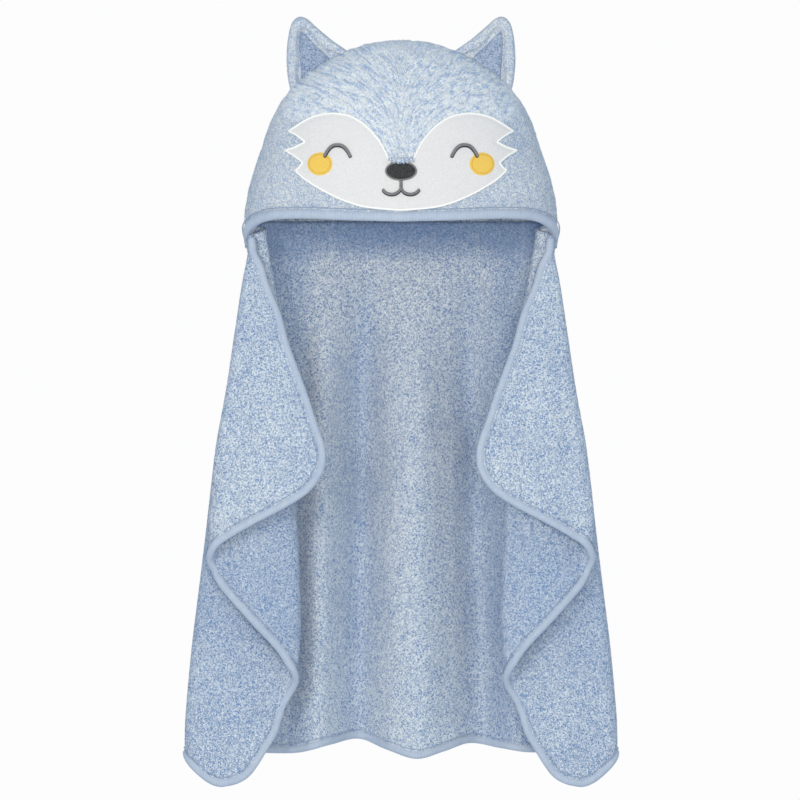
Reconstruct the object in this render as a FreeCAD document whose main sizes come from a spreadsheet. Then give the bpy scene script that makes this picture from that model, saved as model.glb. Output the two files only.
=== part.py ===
import FreeCAD, Part
import math
import os

# Hooded baby towel with a fox face, hanging from the crown of its hood.
# Millimetres. +X to the right, the face looks along -Y, +Z up. The origin is the top of
# the crown seam, so everything but the tips of the ears lies below it.

SIZES = {
    # Hood: two quarter shells that meet in the plane y = 0.
    "hood_half_width": 184.0,
    "hood_rise": 211.0,
    "hood_front_depth": 95.0,
    "hood_back_depth": 70.0,
    "pile_cloth": 4.0,
    "lining_cloth": 2.5,
    "clearance": 0.3,
    # Bindings.
    "rim_binding_drop": 4.4,
    "rim_binding_height": 12.0,
    "rim_binding_wall": 2.0,
    "edge_binding_radius": 4.3,
    # Face pieces, each a layer that follows the hood.
    "felt": 2.0,
    "embroidery": 1.8,
    "border_width": 2.0,
    "border_stand": 0.2,
    "nose_x_radius": 18.6,
    "nose_z_radius": 11.0,
    "nose_rim": 1.8,
    "nose_drop": 152.4,
    "cheek_x_radius": 14.6,
    "cheek_z_radius": 12.9,
    "cheek_spread": 94.5,
    "cheek_drop": 145.0,
    "eye_radius": 15.6,
    "eye_spread": 74.0,
    "eye_drop": 136.8,
    "stroke": 4.1,
    "mouth_radius": 10.6,
    "mouth_drop": 172.0,
    # Ears: a base line on the crown seam, leaning outwards, and a padded triangle on it.
    "ear_base_x": 63.0,
    "ear_base_drop": 13.0,
    "ear_lean": 31.8,
    "ear_base_length": 78.8,
    "ear_height": 63.9,
    "ear_tip_along": 25.8,
    "ear_half_thickness": 9.0,
    "ear_inner_felt": 2.0,
    # Towel: one cloth that runs round the back and is pleated twice on each side.
    "neck_half_width": 182.0,
    "waist_half_width": 179.0,
    "hem_half_width": 255.0,
    "waist_drop": 237.0,
    "back_depth_neck": 70.0,
    "back_depth_hem": 58.0,
    "fold_radius": 10.0,
    "back_hem_drop": 829.0,
    "flap_drop": 868.0,
}

doc = FreeCAD.newDocument("hooded_towel")
sheet = doc.addObject("Spreadsheet::Sheet", "Sizes")
for row, (alias, value) in enumerate(SIZES.items(), start=1):
    sheet.set(f"A{row}", alias)
    sheet.set(f"B{row}", str(value))
    sheet.setAlias(f"B{row}", alias)
doc.recompute()


def size(alias):
    """A driving size, read from the sheet."""
    return float(sheet.get(alias))


NODES = []


def node(obj, label):
    """Names a finished sub-part and lists it for writing."""
    obj.Label = label
    NODES.append(obj)
    return obj


def bound(kind, name, **expressions):
    """A Part primitive whose properties follow expressions of the sheet."""
    obj = doc.addObject(kind, name)
    for prop, text in expressions.items():
        obj.setExpression(prop.replace("__", "."), text)
    return obj


def joined(kind, name, **links):
    """A Part operation with its base and tool objects."""
    obj = doc.addObject(kind, name)
    for prop, value in links.items():
        setattr(obj, prop, value)
    return obj


def feature(name, shape, label):
    """A sub-part whose shape Part's functions make from the sheet's sizes."""
    obj = doc.addObject("Part::Feature", name)
    obj.Shape = shape
    obj.Placement = FreeCAD.Placement()
    return node(obj, label)


def mirrored(source, label):
    """The same piece on the wearer's other side."""
    obj = doc.addObject("Part::Mirroring", label + "_mirror")
    obj.Source = source
    obj.Base = FreeCAD.Vector(0, 0, 0)
    obj.Normal = FreeCAD.Vector(1, 0, 0)
    return node(obj, label)


# ---------------------------------------------------------------- hood shells


def dome(name, stand, depth_alias):
    """A whole ellipsoid that stands outside the hood's outer face by an expression."""
    obj = bound(
        "Part::Ellipsoid",
        name,
        Radius1=f"Sizes.hood_rise + ({stand})",
        Radius2=f"Sizes.hood_half_width + ({stand})",
        Radius3=f"Sizes.{depth_alias} + ({stand})",
        Placement__Base__z="-Sizes.hood_rise",
    )
    obj.Angle1 = -90
    obj.Angle2 = 90
    obj.Angle3 = 360
    return obj


def block(name, side, low, high):
    """A box over one half of the hood, front (-1) or back (+1), between two heights."""
    depth = "hood_front_depth" if side < 0 else "hood_back_depth"
    reach = f"(Sizes.{depth} + 20)"
    return bound(
        "Part::Box",
        name,
        Length="2 * Sizes.hood_half_width + 40",
        Width=reach,
        Height=f"({high}) - ({low})",
        Placement__Base__x="-Sizes.hood_half_width - 20",
        Placement__Base__y=f"-{reach}" if side < 0 else "0",
        Placement__Base__z=low,
    )


def shell(name, side, outer, inner, low, high="20"):
    """A layer that follows the hood, cut off in the seam plane and at two heights."""
    depth = "hood_front_depth" if side < 0 else "hood_back_depth"
    skin = joined(
        "Part::Cut",
        name + "_skin",
        Base=dome(name + "_outer", outer, depth),
        Tool=dome(name + "_inner", inner, depth),
    )
    return joined(
        "Part::Common", name, Base=skin, Tool=block(name + "_block", side, low, high)
    )


LINING_OUT = "-Sizes.pile_cloth - Sizes.clearance"
LINING_IN = LINING_OUT + " - Sizes.lining_cloth"
node(shell("front_panel", -1, "0", "-Sizes.pile_cloth", "-Sizes.hood_rise"), "hood_front_panel")
node(shell("front_lining", -1, LINING_OUT, LINING_IN, "-Sizes.hood_rise"), "hood_front_lining")
BACK_LOW = "-Sizes.hood_rise - Sizes.rim_binding_drop"
node(shell("back_panel", 1, "0", "-Sizes.pile_cloth", BACK_LOW), "hood_back_panel")

RIM_TOP = f"{BACK_LOW} + Sizes.rim_binding_height"
rim_blank = shell(
    "rim_blank",
    -1,
    "Sizes.rim_binding_wall",
    LINING_IN + " - Sizes.rim_binding_wall",
    BACK_LOW,
    RIM_TOP,
)
rim_slot = shell(
    "rim_slot",
    -1,
    "Sizes.clearance",
    LINING_IN + " - Sizes.clearance",
    "-Sizes.hood_rise - Sizes.clearance",
)
node(joined("Part::Cut", "rim_binding", Base=rim_blank, Tool=rim_slot), "hood_rim_binding")

# ---------------------------------------------------------------- face pieces

XZ_TURN = FreeCAD.Rotation(FreeCAD.Vector(1, 0, 0), 90)


def prism(name, base_sketch_shape):
    """A long bar along Y through the front of the hood, with a given XZ outline."""
    bar = doc.addObject("Part::Extrusion", name)
    bar.Base = base_sketch_shape
    bar.DirMode = "Custom"
    bar.Dir = FreeCAD.Vector(0, -1, 0)
    bar.setExpression("LengthFwd", "Sizes.hood_front_depth + 20")
    bar.Solid = True
    return bar


def ellipse_bar(name, x_text, drop_text, x_radius, z_radius):
    """An elliptic bar whose centre and radii follow the sheet."""
    ring = bound(
        "Part::Ellipse",
        name + "_line",
        MajorRadius=x_radius,
        MinorRadius=z_radius,
        Placement__Base__x=x_text,
        Placement__Base__z=f"-({drop_text})",
    )
    ring.Placement.Rotation = XZ_TURN
    return prism(name, ring)


def on_face(name, bar, inner, outer):
    """The part of a bar that lies between two stands off the hood's front."""
    layer = shell(name + "_layer", -1, outer, inner, "-Sizes.hood_rise")
    return joined("Part::Common", name, Base=layer, Tool=bar)


def arc_bar(name, x_text, drop_text, radius, start, half_stroke="Sizes.stroke / 2"):
    """Half a ring in the XZ plane with the thread's stroke, extruded along Y."""
    rings = []
    for part, sign in (("out", "+"), ("in", "-")):
        rings.append(
            bound(
                "Part::Cylinder",
                f"{name}_{part}",
                Radius=f"{radius} {sign} ({half_stroke})",
                Height="Sizes.hood_front_depth + 20",
                Placement__Base__x=x_text,
                Placement__Base__z=f"-({drop_text})",
            )
        )
        rings[-1].Angle = 180
        rings[-1].Placement.Rotation = XZ_TURN.multiply(
            FreeCAD.Rotation(FreeCAD.Vector(0, 0, 1), start)
        )
    return joined("Part::Cut", name, Base=rings[0], Tool=rings[1])


PATCH_IN = "Sizes.clearance"
PATCH_OUT = "Sizes.clearance + Sizes.felt"
SEWN_IN = "Sizes.felt + 2 * Sizes.clearance"
SEWN_OUT = "Sizes.felt + 2 * Sizes.clearance + Sizes.embroidery"


def patch_wire():
    """The felt face: two lobes over the eyes, a dip to the nose and three cheek tufts."""
    v = FreeCAD.Vector
    dip = v(0, 0, -142)
    brow = v(-57.5, 0, -89.5)
    top = v(-113, 0, -96)
    tufts = [v(-131, 0, -107), v(-110.5, 0, -119), v(-135, 0, -129.6), v(-113, 0, -143.6)]
    tufts.append(v(-123, 0, -152))
    chin = v(0, 0, -199)
    left = [
        Part.Arc(dip, v(-25, 0, -118), brow).toShape(),
        Part.Arc(brow, v(-85, 0, -86.4), top).toShape(),
    ]
    corner = top
    for point in tufts:
        left.append(Part.makeLine(corner, point))
        corner = point
    left.append(Part.Arc(corner, v(-72, 0, -186), chin).toShape())
    right = [edge.mirror(v(0, 0, 0), v(1, 0, 0)) for edge in left]
    return Part.Wire(Part.__sortEdges__(left + right))


def bar_of(wire):
    """A bar along -Y with the wire as its outline."""
    reach = size("hood_front_depth") + 20
    return Part.Face(wire).extrude(FreeCAD.Vector(0, -reach, 0))


def grown(wire, distance):
    """The wire's flat outline moved outwards, or inwards if negative."""
    return Part.Face(wire).makeOffset2D(distance, 2).OuterWire


doc.recompute()
outline = patch_wire()
patch_bar = doc.addObject("Part::Feature", "patch_bar")
patch_bar.Shape = bar_of(grown(outline, -size("border_width") / 2 - size("clearance")))
node(on_face("patch", patch_bar, PATCH_IN, PATCH_OUT), "face_patch")

border_bar = doc.addObject("Part::Feature", "border_bar")
border_bar.Shape = bar_of(grown(outline, size("border_width") / 2)).cut(
    bar_of(grown(outline, -size("border_width") / 2))
)
BORDER_OUT = PATCH_OUT + " + Sizes.border_stand"
node(on_face("patch_border", border_bar, PATCH_IN, BORDER_OUT), "face_patch_border")

nose_bar = ellipse_bar(
    "nose_bar", "0", "Sizes.nose_drop", "Sizes.nose_x_radius", "Sizes.nose_z_radius"
)
node(on_face("nose", nose_bar, SEWN_IN, SEWN_OUT), "nose")
RIM_X = "Sizes.nose_x_radius + Sizes.clearance"
RIM_Z = "Sizes.nose_z_radius + Sizes.clearance"
nose_rim_bar = joined(
    "Part::Cut",
    "nose_rim_bar",
    Base=ellipse_bar(
        "nose_rim_out", "0", "Sizes.nose_drop", RIM_X + " + Sizes.nose_rim", RIM_Z + " + Sizes.nose_rim"
    ),
    Tool=ellipse_bar("nose_rim_in", "0", "Sizes.nose_drop", RIM_X, RIM_Z),
)
node(on_face("nose_rim", nose_rim_bar, SEWN_IN, SEWN_OUT), "nose_outline")

EYE = ("Sizes.eye_spread", "Sizes.eye_drop", "Sizes.eye_radius", 0)
cheek_bar = joined(
    "Part::Cut",
    "cheek_bar",
    Base=ellipse_bar(
        "cheek_disc",
        "Sizes.cheek_spread",
        "Sizes.cheek_drop",
        "Sizes.cheek_x_radius",
        "Sizes.cheek_z_radius",
    ),
    Tool=arc_bar("eye_notch", *EYE, "Sizes.stroke / 2 + Sizes.clearance"),
)
right_cheek = node(on_face("cheek", cheek_bar, SEWN_IN, SEWN_OUT), "right_cheek")
mirrored(right_cheek, "left_cheek")

right_eye = node(on_face("eye", arc_bar("eye_bar", *EYE), SEWN_IN, SEWN_OUT), "right_eye")
mirrored(right_eye, "left_eye")

stem = bound(
    "Part::Box",
    "mouth_stem",
    Length="Sizes.stroke",
    Width="Sizes.hood_front_depth + 20",
    Height="Sizes.mouth_drop - Sizes.nose_drop - Sizes.nose_z_radius - Sizes.nose_rim"
    " - 2 * Sizes.clearance",
    Placement__Base__x="-Sizes.stroke / 2",
    Placement__Base__y="-Sizes.hood_front_depth - 20",
    Placement__Base__z="-Sizes.mouth_drop",
)
hooks = [
    arc_bar(name, f"{sign}Sizes.mouth_radius", "Sizes.mouth_drop", "Sizes.mouth_radius", 180)
    for name, sign in (("right_hook", ""), ("left_hook", "-"))
]
mouth_bar = doc.addObject("Part::MultiFuse", "mouth_bar")
mouth_bar.Shapes = [stem, *hooks]
node(on_face("mouth", mouth_bar, SEWN_IN, SEWN_OUT), "mouth")

# ---------------------------------------------------------------- ears


def ear_outline(inset):
    """The ear's flat outline in its own frame: x along the base, z up from the base."""
    base, rise, tip = size("ear_base_length"), size("ear_height"), size("ear_tip_along")
    low = -2 * size("ear_half_thickness")
    v = FreeCAD.Vector
    inner_top = v(tip - 9, 0, rise - 8)
    outer_top = v(tip + 8, 0, rise - 2)
    edges = [
        Part.makeLine(v(0, 0, low), v(0, 0, 6)),
        Part.Arc(v(0, 0, 6), v(6, 0, rise / 2), inner_top).toShape(),
        Part.Arc(inner_top, v(tip, 0, rise), outer_top).toShape(),
        Part.Arc(outer_top, v(base * 0.72, 0, rise * 0.68), v(base, 0, 6)).toShape(),
        Part.makeLine(v(base, 0, 6), v(base, 0, low)),
        Part.makeLine(v(base, 0, low), v(0, 0, low)),
    ]
    wire = Part.Wire(edges)
    return grown(wire, -inset) if inset else wire


def ear_seat():
    """How far the ear's hinge line stands off its base line, to clear the dome."""
    lean = math.radians(size("ear_lean"))
    across, up = math.sin(lean), math.cos(lean)
    reach = math.hypot(size("hood_half_width") * across, size("hood_rise") * up)
    line = size("ear_base_x") * across + (size("hood_rise") - size("ear_base_drop")) * up
    return reach - line + size("clearance") + size("ear_half_thickness")


def ear_slab(inset, near, far, floor):
    """The ear's outline between two Y planes, down to a height above the hinge line."""
    slab = Part.Face(ear_outline(inset)).extrude(FreeCAD.Vector(0, far - near, 0))
    slab.translate(FreeCAD.Vector(0, near, 0))
    base = size("ear_base_length")
    above = Part.makeBox(
        base * 2, far - near, size("ear_height") * 2, FreeCAD.Vector(-base / 2, near, floor)
    )
    return slab.common(above)


def ear_parts():
    """The right ear in its own frame: front and back cloth, inner felt and wadding."""
    half, cloth = size("ear_half_thickness"), size("pile_cloth")
    gap, hinge = size("clearance"), ear_seat()
    base = size("ear_base_length")
    roll = Part.makeCylinder(
        half, base, FreeCAD.Vector(0, 0, hinge), FreeCAD.Vector(1, 0, 0)
    )
    fill_half = half - cloth
    blank = ear_slab(0, -half, half, hinge).fuse(roll).removeSplitter()
    hollow = ear_slab(cloth, -fill_half, fill_half, hinge - fill_half + gap)
    front_box = Part.makeBox(
        base * 2, half * 2, size("ear_height") * 3, FreeCAD.Vector(-base / 2, -half * 2, -base)
    )
    cover = blank.cut(hollow)
    felt = ear_slab(cloth * 2.4, -half - gap - size("ear_inner_felt"), -half - gap, hinge + half)
    fill = ear_slab(
        cloth + gap, -fill_half + gap, fill_half - gap, hinge - fill_half + 2 * gap
    )
    return {
        "ear_front": cover.common(front_box),
        "ear_back": cover.cut(front_box),
        "ear_inner": felt,
        "ear_wadding": fill,
    }


EAR_PLACE = FreeCAD.Placement(
    FreeCAD.Vector(size("ear_base_x"), 0, -size("ear_base_drop")),
    FreeCAD.Rotation(FreeCAD.Vector(0, 1, 0), size("ear_lean")),
)
for label, shape in ear_parts().items():
    piece = feature("right_" + label, shape, "right_" + label)
    piece.Placement = EAR_PLACE
    mirrored(piece, "left_" + label)

# ---------------------------------------------------------------- towel cloth


def between(drop, start, end, first, last):
    """A straight change from first to last between two drops."""
    share = (drop - start) / (end - start)
    return first + (last - first) * share


def half_width(drop):
    """The cloth's outer half width: drawn in under the hood, then widening to the hem."""
    if drop <= size("waist_drop"):
        return between(
            drop, size("hood_rise"), size("waist_drop"), size("neck_half_width"), size("waist_half_width")
        )
    return between(
        drop, size("waist_drop"), size("back_hem_drop"), size("waist_half_width"), size("hem_half_width")
    )


FOLD_LINE = [(211.0, 160.0), (310.0, 144.0), (362.0, 132.0), (605.0, 120.0), (900.0, 120.0)]


def inner_fold(drop):
    """The distance of the pleat's inner fold from the middle."""
    for (high, wide), (low, narrow) in zip(FOLD_LINE, FOLD_LINE[1:]):
        if drop <= low:
            return between(drop, high, low, wide, narrow)
    return FOLD_LINE[-1][1]


FREE_END = 60.0
FAR = 400.0
FRONT, MIDDLE, REAR = 5, 3, 1
FRONT_FOLD_DROP = 601.0
INNER_FOLD_DROP = 750.0
PLEAT_WIDTH = 113.0  # The pleat that the corner radii of its free edges are drawn for.


def layer_y(layer):
    """The Y of a pleat layer's mid plane, counted in fold radii."""
    return -layer * size("fold_radius")


def side_reach(drop):
    """The half width to the middle of the cloth."""
    return half_width(drop) - size("pile_cloth") / 2


def outer_turn(drop):
    """The X where the cloth starts to turn at the left outline."""
    return -side_reach(drop) + size("fold_radius")


def inner_turn(drop):
    """The X where the cloth starts to turn at the left inner fold."""
    return -inner_fold(drop) - size("fold_radius")


def back_depth(drop):
    """How far the middle of the back panel stands behind the seam plane."""
    return between(
        drop, size("hood_rise"), size("back_hem_drop"), size("back_depth_neck"), size("back_depth_hem")
    )


def back_line(drop, thick):
    """The back panel's half ellipse, moved outwards by thick."""
    v = FreeCAD.Vector
    reach, depth = side_reach(drop) + thick, back_depth(drop) + thick
    curve = Part.Ellipse(v(reach, 0, -drop), v(0, depth, -drop), v(0, 0, -drop))
    return curve.toShape(0, math.pi)


def mirrored_edges(edges):
    """The same edges on the other side."""
    return [edge.mirror(FreeCAD.Vector(0, 0, 0), FreeCAD.Vector(1, 0, 0)) for edge in edges]


def turned(centre_x, centre_y, reach, start, end, height):
    """A level arc about a fold's centre between two angles in quarter turns."""
    angles = [quarter * math.pi / 2 for quarter in (start, (start + end) / 2, end)]
    spots = [
        FreeCAD.Vector(centre_x + reach * math.cos(a), centre_y + reach * math.sin(a), height)
        for a in angles
    ]
    return Part.Arc(*spots).toShape()


def section_side(drop, thick):
    """The cloth's path round the left side, moved outwards by thick, as edges."""
    v = FreeCAD.Vector
    height = -drop
    radius = size("fold_radius")
    turn, fold = outer_turn(drop), inner_turn(drop)
    out, inn = radius + thick, radius - thick
    middle_y, front_y = -2 * radius - inn, -4 * radius - out
    return [
        turned(turn, 0, out, 2, 3, height),
        Part.makeLine(v(turn, -out, height), v(fold, -out, height)),
        turned(fold, -2 * radius, inn, 1, -1, height),
        Part.makeLine(v(fold, middle_y, height), v(turn, middle_y, height)),
        turned(turn, -4 * radius, out, 1, 3, height),
        Part.makeLine(v(turn, front_y, height), v(-FREE_END, front_y, height)),
    ]


def section(drop):
    """The closed outline of the whole cloth at one height."""
    v = FreeCAD.Vector
    half = size("pile_cloth") / 2
    edges = []
    for thick in (half, -half):
        left = section_side(drop, thick)
        edges += [back_line(drop, thick), *left, *mirrored_edges(left)]
    y_free = layer_y(FRONT)
    for x in (-FREE_END, FREE_END):
        edges.append(Part.makeLine(v(x, y_free - half, -drop), v(x, y_free + half, -drop)))
    return Part.Wire(Part.__sortEdges__(edges))


def rounded(points, radii):
    """Straight runs joined by tangent arcs, one radius for each inner point."""
    edges = []
    start = points[0]
    for before, corner, after, radius in zip(points, points[1:], points[2:], radii):
        into = (before - corner).normalize()
        out = (after - corner).normalize()
        half_turn = into.getAngle(out) / 2
        trim = radius / math.tan(half_turn)
        a, b = corner + into * trim, corner + out * trim
        inward = (into + out).normalize()
        middle = corner + inward * (radius / math.sin(half_turn) - radius)
        edges.append(Part.makeLine(start, a))
        edges.append(Part.Arc(a, middle, b).toShape())
        start = b
    edges.append(Part.makeLine(start, points[-1]))
    return edges


def run(layer, points, radii):
    """A rounded run in the plane of one pleat layer, from (x, drop) points."""
    return rounded([FreeCAD.Vector(x, layer_y(layer), -drop) for x, drop in points], radii)


def across(first, last, share):
    """The X at a share of the way from one turn of the cloth to another."""
    return first + share * (last - first)


def free_edges():
    """The mid line of the binding on each layer of the left side, from the neck down."""
    top = size("hood_rise") + size("rim_binding_drop") + 2 * size("edge_binding_radius")
    lead = 10.0
    front_x = outer_turn(FRONT_FOLD_DROP)
    fold_x = inner_turn(INNER_FOLD_DROP)
    hem_x = outer_turn(size("back_hem_drop"))
    low, hem = size("flap_drop"), size("back_hem_drop")
    front = [(-174, top), (-173, 240), (-155, 284), (-86, 478), (-95, 526)]
    front += [(front_x + lead, FRONT_FOLD_DROP), (front_x, FRONT_FOLD_DROP)]
    middle = [(front_x, FRONT_FOLD_DROP), (front_x + lead, FRONT_FOLD_DROP)]
    middle += [(across(fold_x, front_x, 0.859909), 640), (across(fold_x, front_x, 0.119432), 708)]
    middle += [(fold_x - lead, INNER_FOLD_DROP), (fold_x, INNER_FOLD_DROP)]
    rear = [(fold_x, INNER_FOLD_DROP), (fold_x - lead, INNER_FOLD_DROP)]
    rear += [(across(fold_x, hem_x, 0.141593), 784), (across(fold_x, hem_x, 0.389381), low - 20)]
    rear += [(across(fold_x, hem_x, 0.699115), low), (across(fold_x, hem_x, 0.938053), low - 10)]
    rear += [(hem_x + lead, hem), (hem_x, hem)]
    fit = (fold_x - hem_x) / PLEAT_WIDTH
    return {
        FRONT: run(FRONT, front, [20, 60, 45, 30, 25]),
        MIDDLE: run(MIDDLE, middle, [radius * fit for radius in (10, 30, 30, 8)]),
        REAR: run(REAR, rear, [radius * fit for radius in (8, 40, 30, 25, 12, 7)]),
    }


def beyond(layer, edges):
    """What is cut from one layer on the left: all past its binding's inner edge."""
    v = FreeCAD.Vector
    y = layer_y(layer)
    start = edges[0].firstVertex(True).Point
    end = edges[-1].lastVertex(True).Point
    deep, past_middle = -3 * FAR, size("fold_radius")
    if layer == MIDDLE:
        inside = end.x + 4 * size("fold_radius")
        rest = [v(inside, y, end.z), v(inside, y, deep), v(-FAR, y, deep), v(-FAR, y, start.z)]
    else:
        above = 0 if layer == FRONT else start.z
        rest = [v(-FAR, y, end.z), v(-FAR, y, deep), v(past_middle, y, deep)]
        rest += [v(past_middle, y, above)]
        if layer == FRONT:
            rest.append(v(start.x, y, above))
    loop = [end, *rest, start]
    lines = [Part.makeLine(a, b) for a, b in zip(loop, loop[1:])]
    wire = Part.Wire(Part.__sortEdges__([*edges, *lines]))
    face = Part.Face(grown(wire, size("edge_binding_radius") + size("clearance")))
    face.translate(v(0, -size("fold_radius"), 0))
    return face.extrude(v(0, 2 * size("fold_radius"), 0))


def towel_solid(edges):
    """The pleated cloth, lofted down its length and trimmed to its free edges and hem."""
    v = FreeCAD.Vector
    top = size("hood_rise") + size("rim_binding_drop") + size("clearance")
    bends = [drop for drop, _ in FOLD_LINE[1:-1]]
    drops = [top, size("waist_drop"), *bends, size("flap_drop") + 10]
    body = Part.makeLoft([section(drop) for drop in drops], True, True)
    for layer, layer_run in edges.items():
        cutter = beyond(layer, layer_run)
        body = body.cut(cutter)
        body = body.cut(cutter.mirror(v(0, 0, 0), v(1, 0, 0)))
    hem = size("back_hem_drop") - size("edge_binding_radius") - size("clearance")
    return body.cut(Part.makeBox(2 * FAR, FAR, FAR, v(-FAR, 0, -hem - FAR)))


def binding_path(edges):
    """One smooth line along the free edges, round each fold and along the back hem."""
    radius = size("fold_radius")
    hem = size("back_hem_drop")
    left = [
        *edges[FRONT],
        turned(outer_turn(FRONT_FOLD_DROP), -4 * radius, radius, 3, 1, -FRONT_FOLD_DROP),
        *edges[MIDDLE],
        turned(inner_turn(INNER_FOLD_DROP), -2 * radius, radius, -1, 1, -INNER_FOLD_DROP),
        *edges[REAR],
        turned(outer_turn(hem), 0, radius, 3, 2, -hem),
    ]
    return [*left, back_line(hem, 0), *mirrored_edges(left)]


def tube(edges):
    """A round binding along a path."""
    path = Part.Wire(Part.__sortEdges__(edges))
    ends = path.OrderedVertexes
    start = ends[0].Point
    first = path.OrderedEdges[0]
    ahead = first.lastVertex(True).Point - first.firstVertex(True).Point
    ring = Part.Wire(Part.makeCircle(size("edge_binding_radius"), start, ahead))
    solid = path.makePipeShell([ring], True, False)
    expected = math.pi * size("edge_binding_radius") ** 2 * path.Length
    print(f"binding: {path.Length:.0f} mm long, {solid.Volume / expected:.4f} of its section by length")
    return solid


edges_left = free_edges()
feature("towel_cloth", towel_solid(edges_left), "towel_body")
feature("binding_tube", tube(binding_path(edges_left)), "edge_binding")

# ---------------------------------------------------------------- checks and files

doc.recompute()
for obj in doc.Objects:
    if {"Invalid", "Error"} & set(obj.State):
        raise RuntimeError(f"{obj.Name} failed: {obj.State}")
for obj in NODES:
    if obj.Shape.isNull() or not obj.Shape.isValid() or not obj.Shape.Solids:
        raise RuntimeError(f"{obj.Label} has no valid solid")
os.makedirs("parts", exist_ok=True)
for obj in NODES:
    obj.Shape.exportStep(f"parts/{obj.Label}.step")
    box = obj.Shape.BoundBox
    print(
        f"{obj.Label}: {len(obj.Shape.Solids)} solids, {obj.Shape.Volume / 1000:.1f} cm3, "
        f"x {box.XMin:.1f}..{box.XMax:.1f} y {box.YMin:.1f}..{box.YMax:.1f} z {box.ZMin:.1f}..{box.ZMax:.1f}"
    )
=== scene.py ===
import logging
import math
from bisect import bisect_left
from collections.abc import Callable, Iterable
from dataclasses import dataclass, field
from enum import Enum
from functools import lru_cache, partial

import bmesh
import bpy
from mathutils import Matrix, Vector, kdtree, noise


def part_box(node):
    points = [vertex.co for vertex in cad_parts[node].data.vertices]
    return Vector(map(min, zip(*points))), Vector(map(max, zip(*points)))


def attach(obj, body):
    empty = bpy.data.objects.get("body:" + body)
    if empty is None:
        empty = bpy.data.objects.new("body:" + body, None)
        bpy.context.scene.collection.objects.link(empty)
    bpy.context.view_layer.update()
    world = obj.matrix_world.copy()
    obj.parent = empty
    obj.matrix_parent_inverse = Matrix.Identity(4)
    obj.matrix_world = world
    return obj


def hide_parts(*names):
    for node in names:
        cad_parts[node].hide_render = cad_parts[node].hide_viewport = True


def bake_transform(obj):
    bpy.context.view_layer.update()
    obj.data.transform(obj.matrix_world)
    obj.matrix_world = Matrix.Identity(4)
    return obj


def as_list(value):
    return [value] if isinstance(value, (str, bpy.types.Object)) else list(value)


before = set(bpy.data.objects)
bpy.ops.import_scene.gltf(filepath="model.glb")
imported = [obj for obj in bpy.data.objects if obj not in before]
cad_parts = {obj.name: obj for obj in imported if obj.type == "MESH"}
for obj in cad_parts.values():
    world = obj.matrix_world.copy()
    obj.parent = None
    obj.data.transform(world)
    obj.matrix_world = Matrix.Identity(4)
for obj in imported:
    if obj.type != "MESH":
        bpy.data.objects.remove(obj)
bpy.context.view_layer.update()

LOG = logging.getLogger("hooded_towel")

# Lengths in this file are millimetres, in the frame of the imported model: x to the right,
# the face towards -y, z up from the hem to the crown. They become metres in the meshes.
MM = 0.001
ROOT = "root"

Point = tuple[float, float]
Place = tuple[float, float, float]
# The middle of an oval in the front view, and its half width and half height. An eye's arc has
# its ends' middle, its half width and its whole height instead.
Oval = tuple[float, float, float, float]
Colour = tuple[float, float, float, float]


class Side(Enum):
    """The two sides of the towel, as seen from the front."""

    LEFT = -1
    RIGHT = 1

    @property
    def word(self) -> str:
        """The side's name in piece names."""
        return self.name.lower()


def node_box(node: str) -> tuple[Vector, Vector]:
    """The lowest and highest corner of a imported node, in millimetres."""
    low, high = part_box(node)
    return Vector(low) / MM, Vector(high) / MM


def ramp(value: float, low: float, high: float) -> float:
    """A smooth rise from 0 at low to 1 at high."""
    share = min(1.0, max(0.0, (value - low) / (high - low)))
    return share * share * (3.0 - 2.0 * share)


def mixed(first: float, last: float, share: float) -> float:
    """A straight mix of two values."""
    return first + (last - first) * share


def signed_power(value: float, power: float) -> float:
    """A power of a value's size, with the value's sign."""
    return math.copysign(abs(value) ** power, value)


def upright(points: Iterable[Point]) -> list[Vector]:
    """Points of the front view, as x and z, in the plane of the crown seam."""
    return [Vector((x, 0, z)) for x, z in points]


class Curve:
    """A smooth line through a few points, read by its first coordinate."""

    def __init__(self, points: Iterable[Point]) -> None:
        """Keeps the points, sorted, with a slope at each.

        Args:
            points: pairs of the coordinate read and the value there.
        """
        self.points = sorted(points)
        last = len(self.points) - 1
        self.slopes = []
        for i in range(last + 1):
            (x0, y0), (x1, y1) = self.points[max(i - 1, 0)], self.points[min(i + 1, last)]
            self.slopes.append((y1 - y0) / (x1 - x0))

    def __call__(self, x: float) -> float:
        """Reads the line, which is level beyond its ends.

        Args:
            x: the coordinate to read it at.

        Returns:
            The value there.
        """
        points = self.points
        if x <= points[0][0]:
            return points[0][1]
        for i in range(len(points) - 1):
            (x0, y0), (x1, y1) = points[i], points[i + 1]
            if x <= x1:
                width = x1 - x0
                t = (x - x0) / width
                rise = (y1 - y0) * t * t * (3 - 2 * t)
                lead = self.slopes[i] * width * t * (1 - t) ** 2
                tail = self.slopes[i + 1] * width * t * t * (t - 1)
                return y0 + rise + lead + tail
        return points[-1][1]


def through(points: list[Vector], step: float, closed: bool = False) -> list[Vector]:
    """A smooth line through points, sampled at even steps.

    Args:
        points: the points to pass through, in order.
        step: about how far apart the samples are, in the points' unit.
        closed: whether the line returns to its first point.

    Returns:
        The samples; a closed line doesn't repeat its first one.
    """
    count = len(points)
    spans = count if closed else count - 1
    fine = []
    for i in range(spans):
        if closed:
            a, b, c, d = (points[(i + k) % count] for k in (-1, 0, 1, 2))
        else:
            a, b, c, d = (points[min(max(i + k, 0), count - 1)] for k in (-1, 0, 1, 2))
        pieces = max(4, int((c - b).length / step * 3))
        for j in range(pieces):
            t = j / pieces
            fine.append(
                0.5
                * (
                    2 * b
                    + (c - a) * t
                    + (2 * a - 5 * b + 4 * c - d) * t * t
                    + (3 * b - a - 3 * c + d) * t * t * t
                )
            )
    fine.append(points[0].copy() if closed else points[-1].copy())
    return spaced(fine, step, closed)


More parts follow.
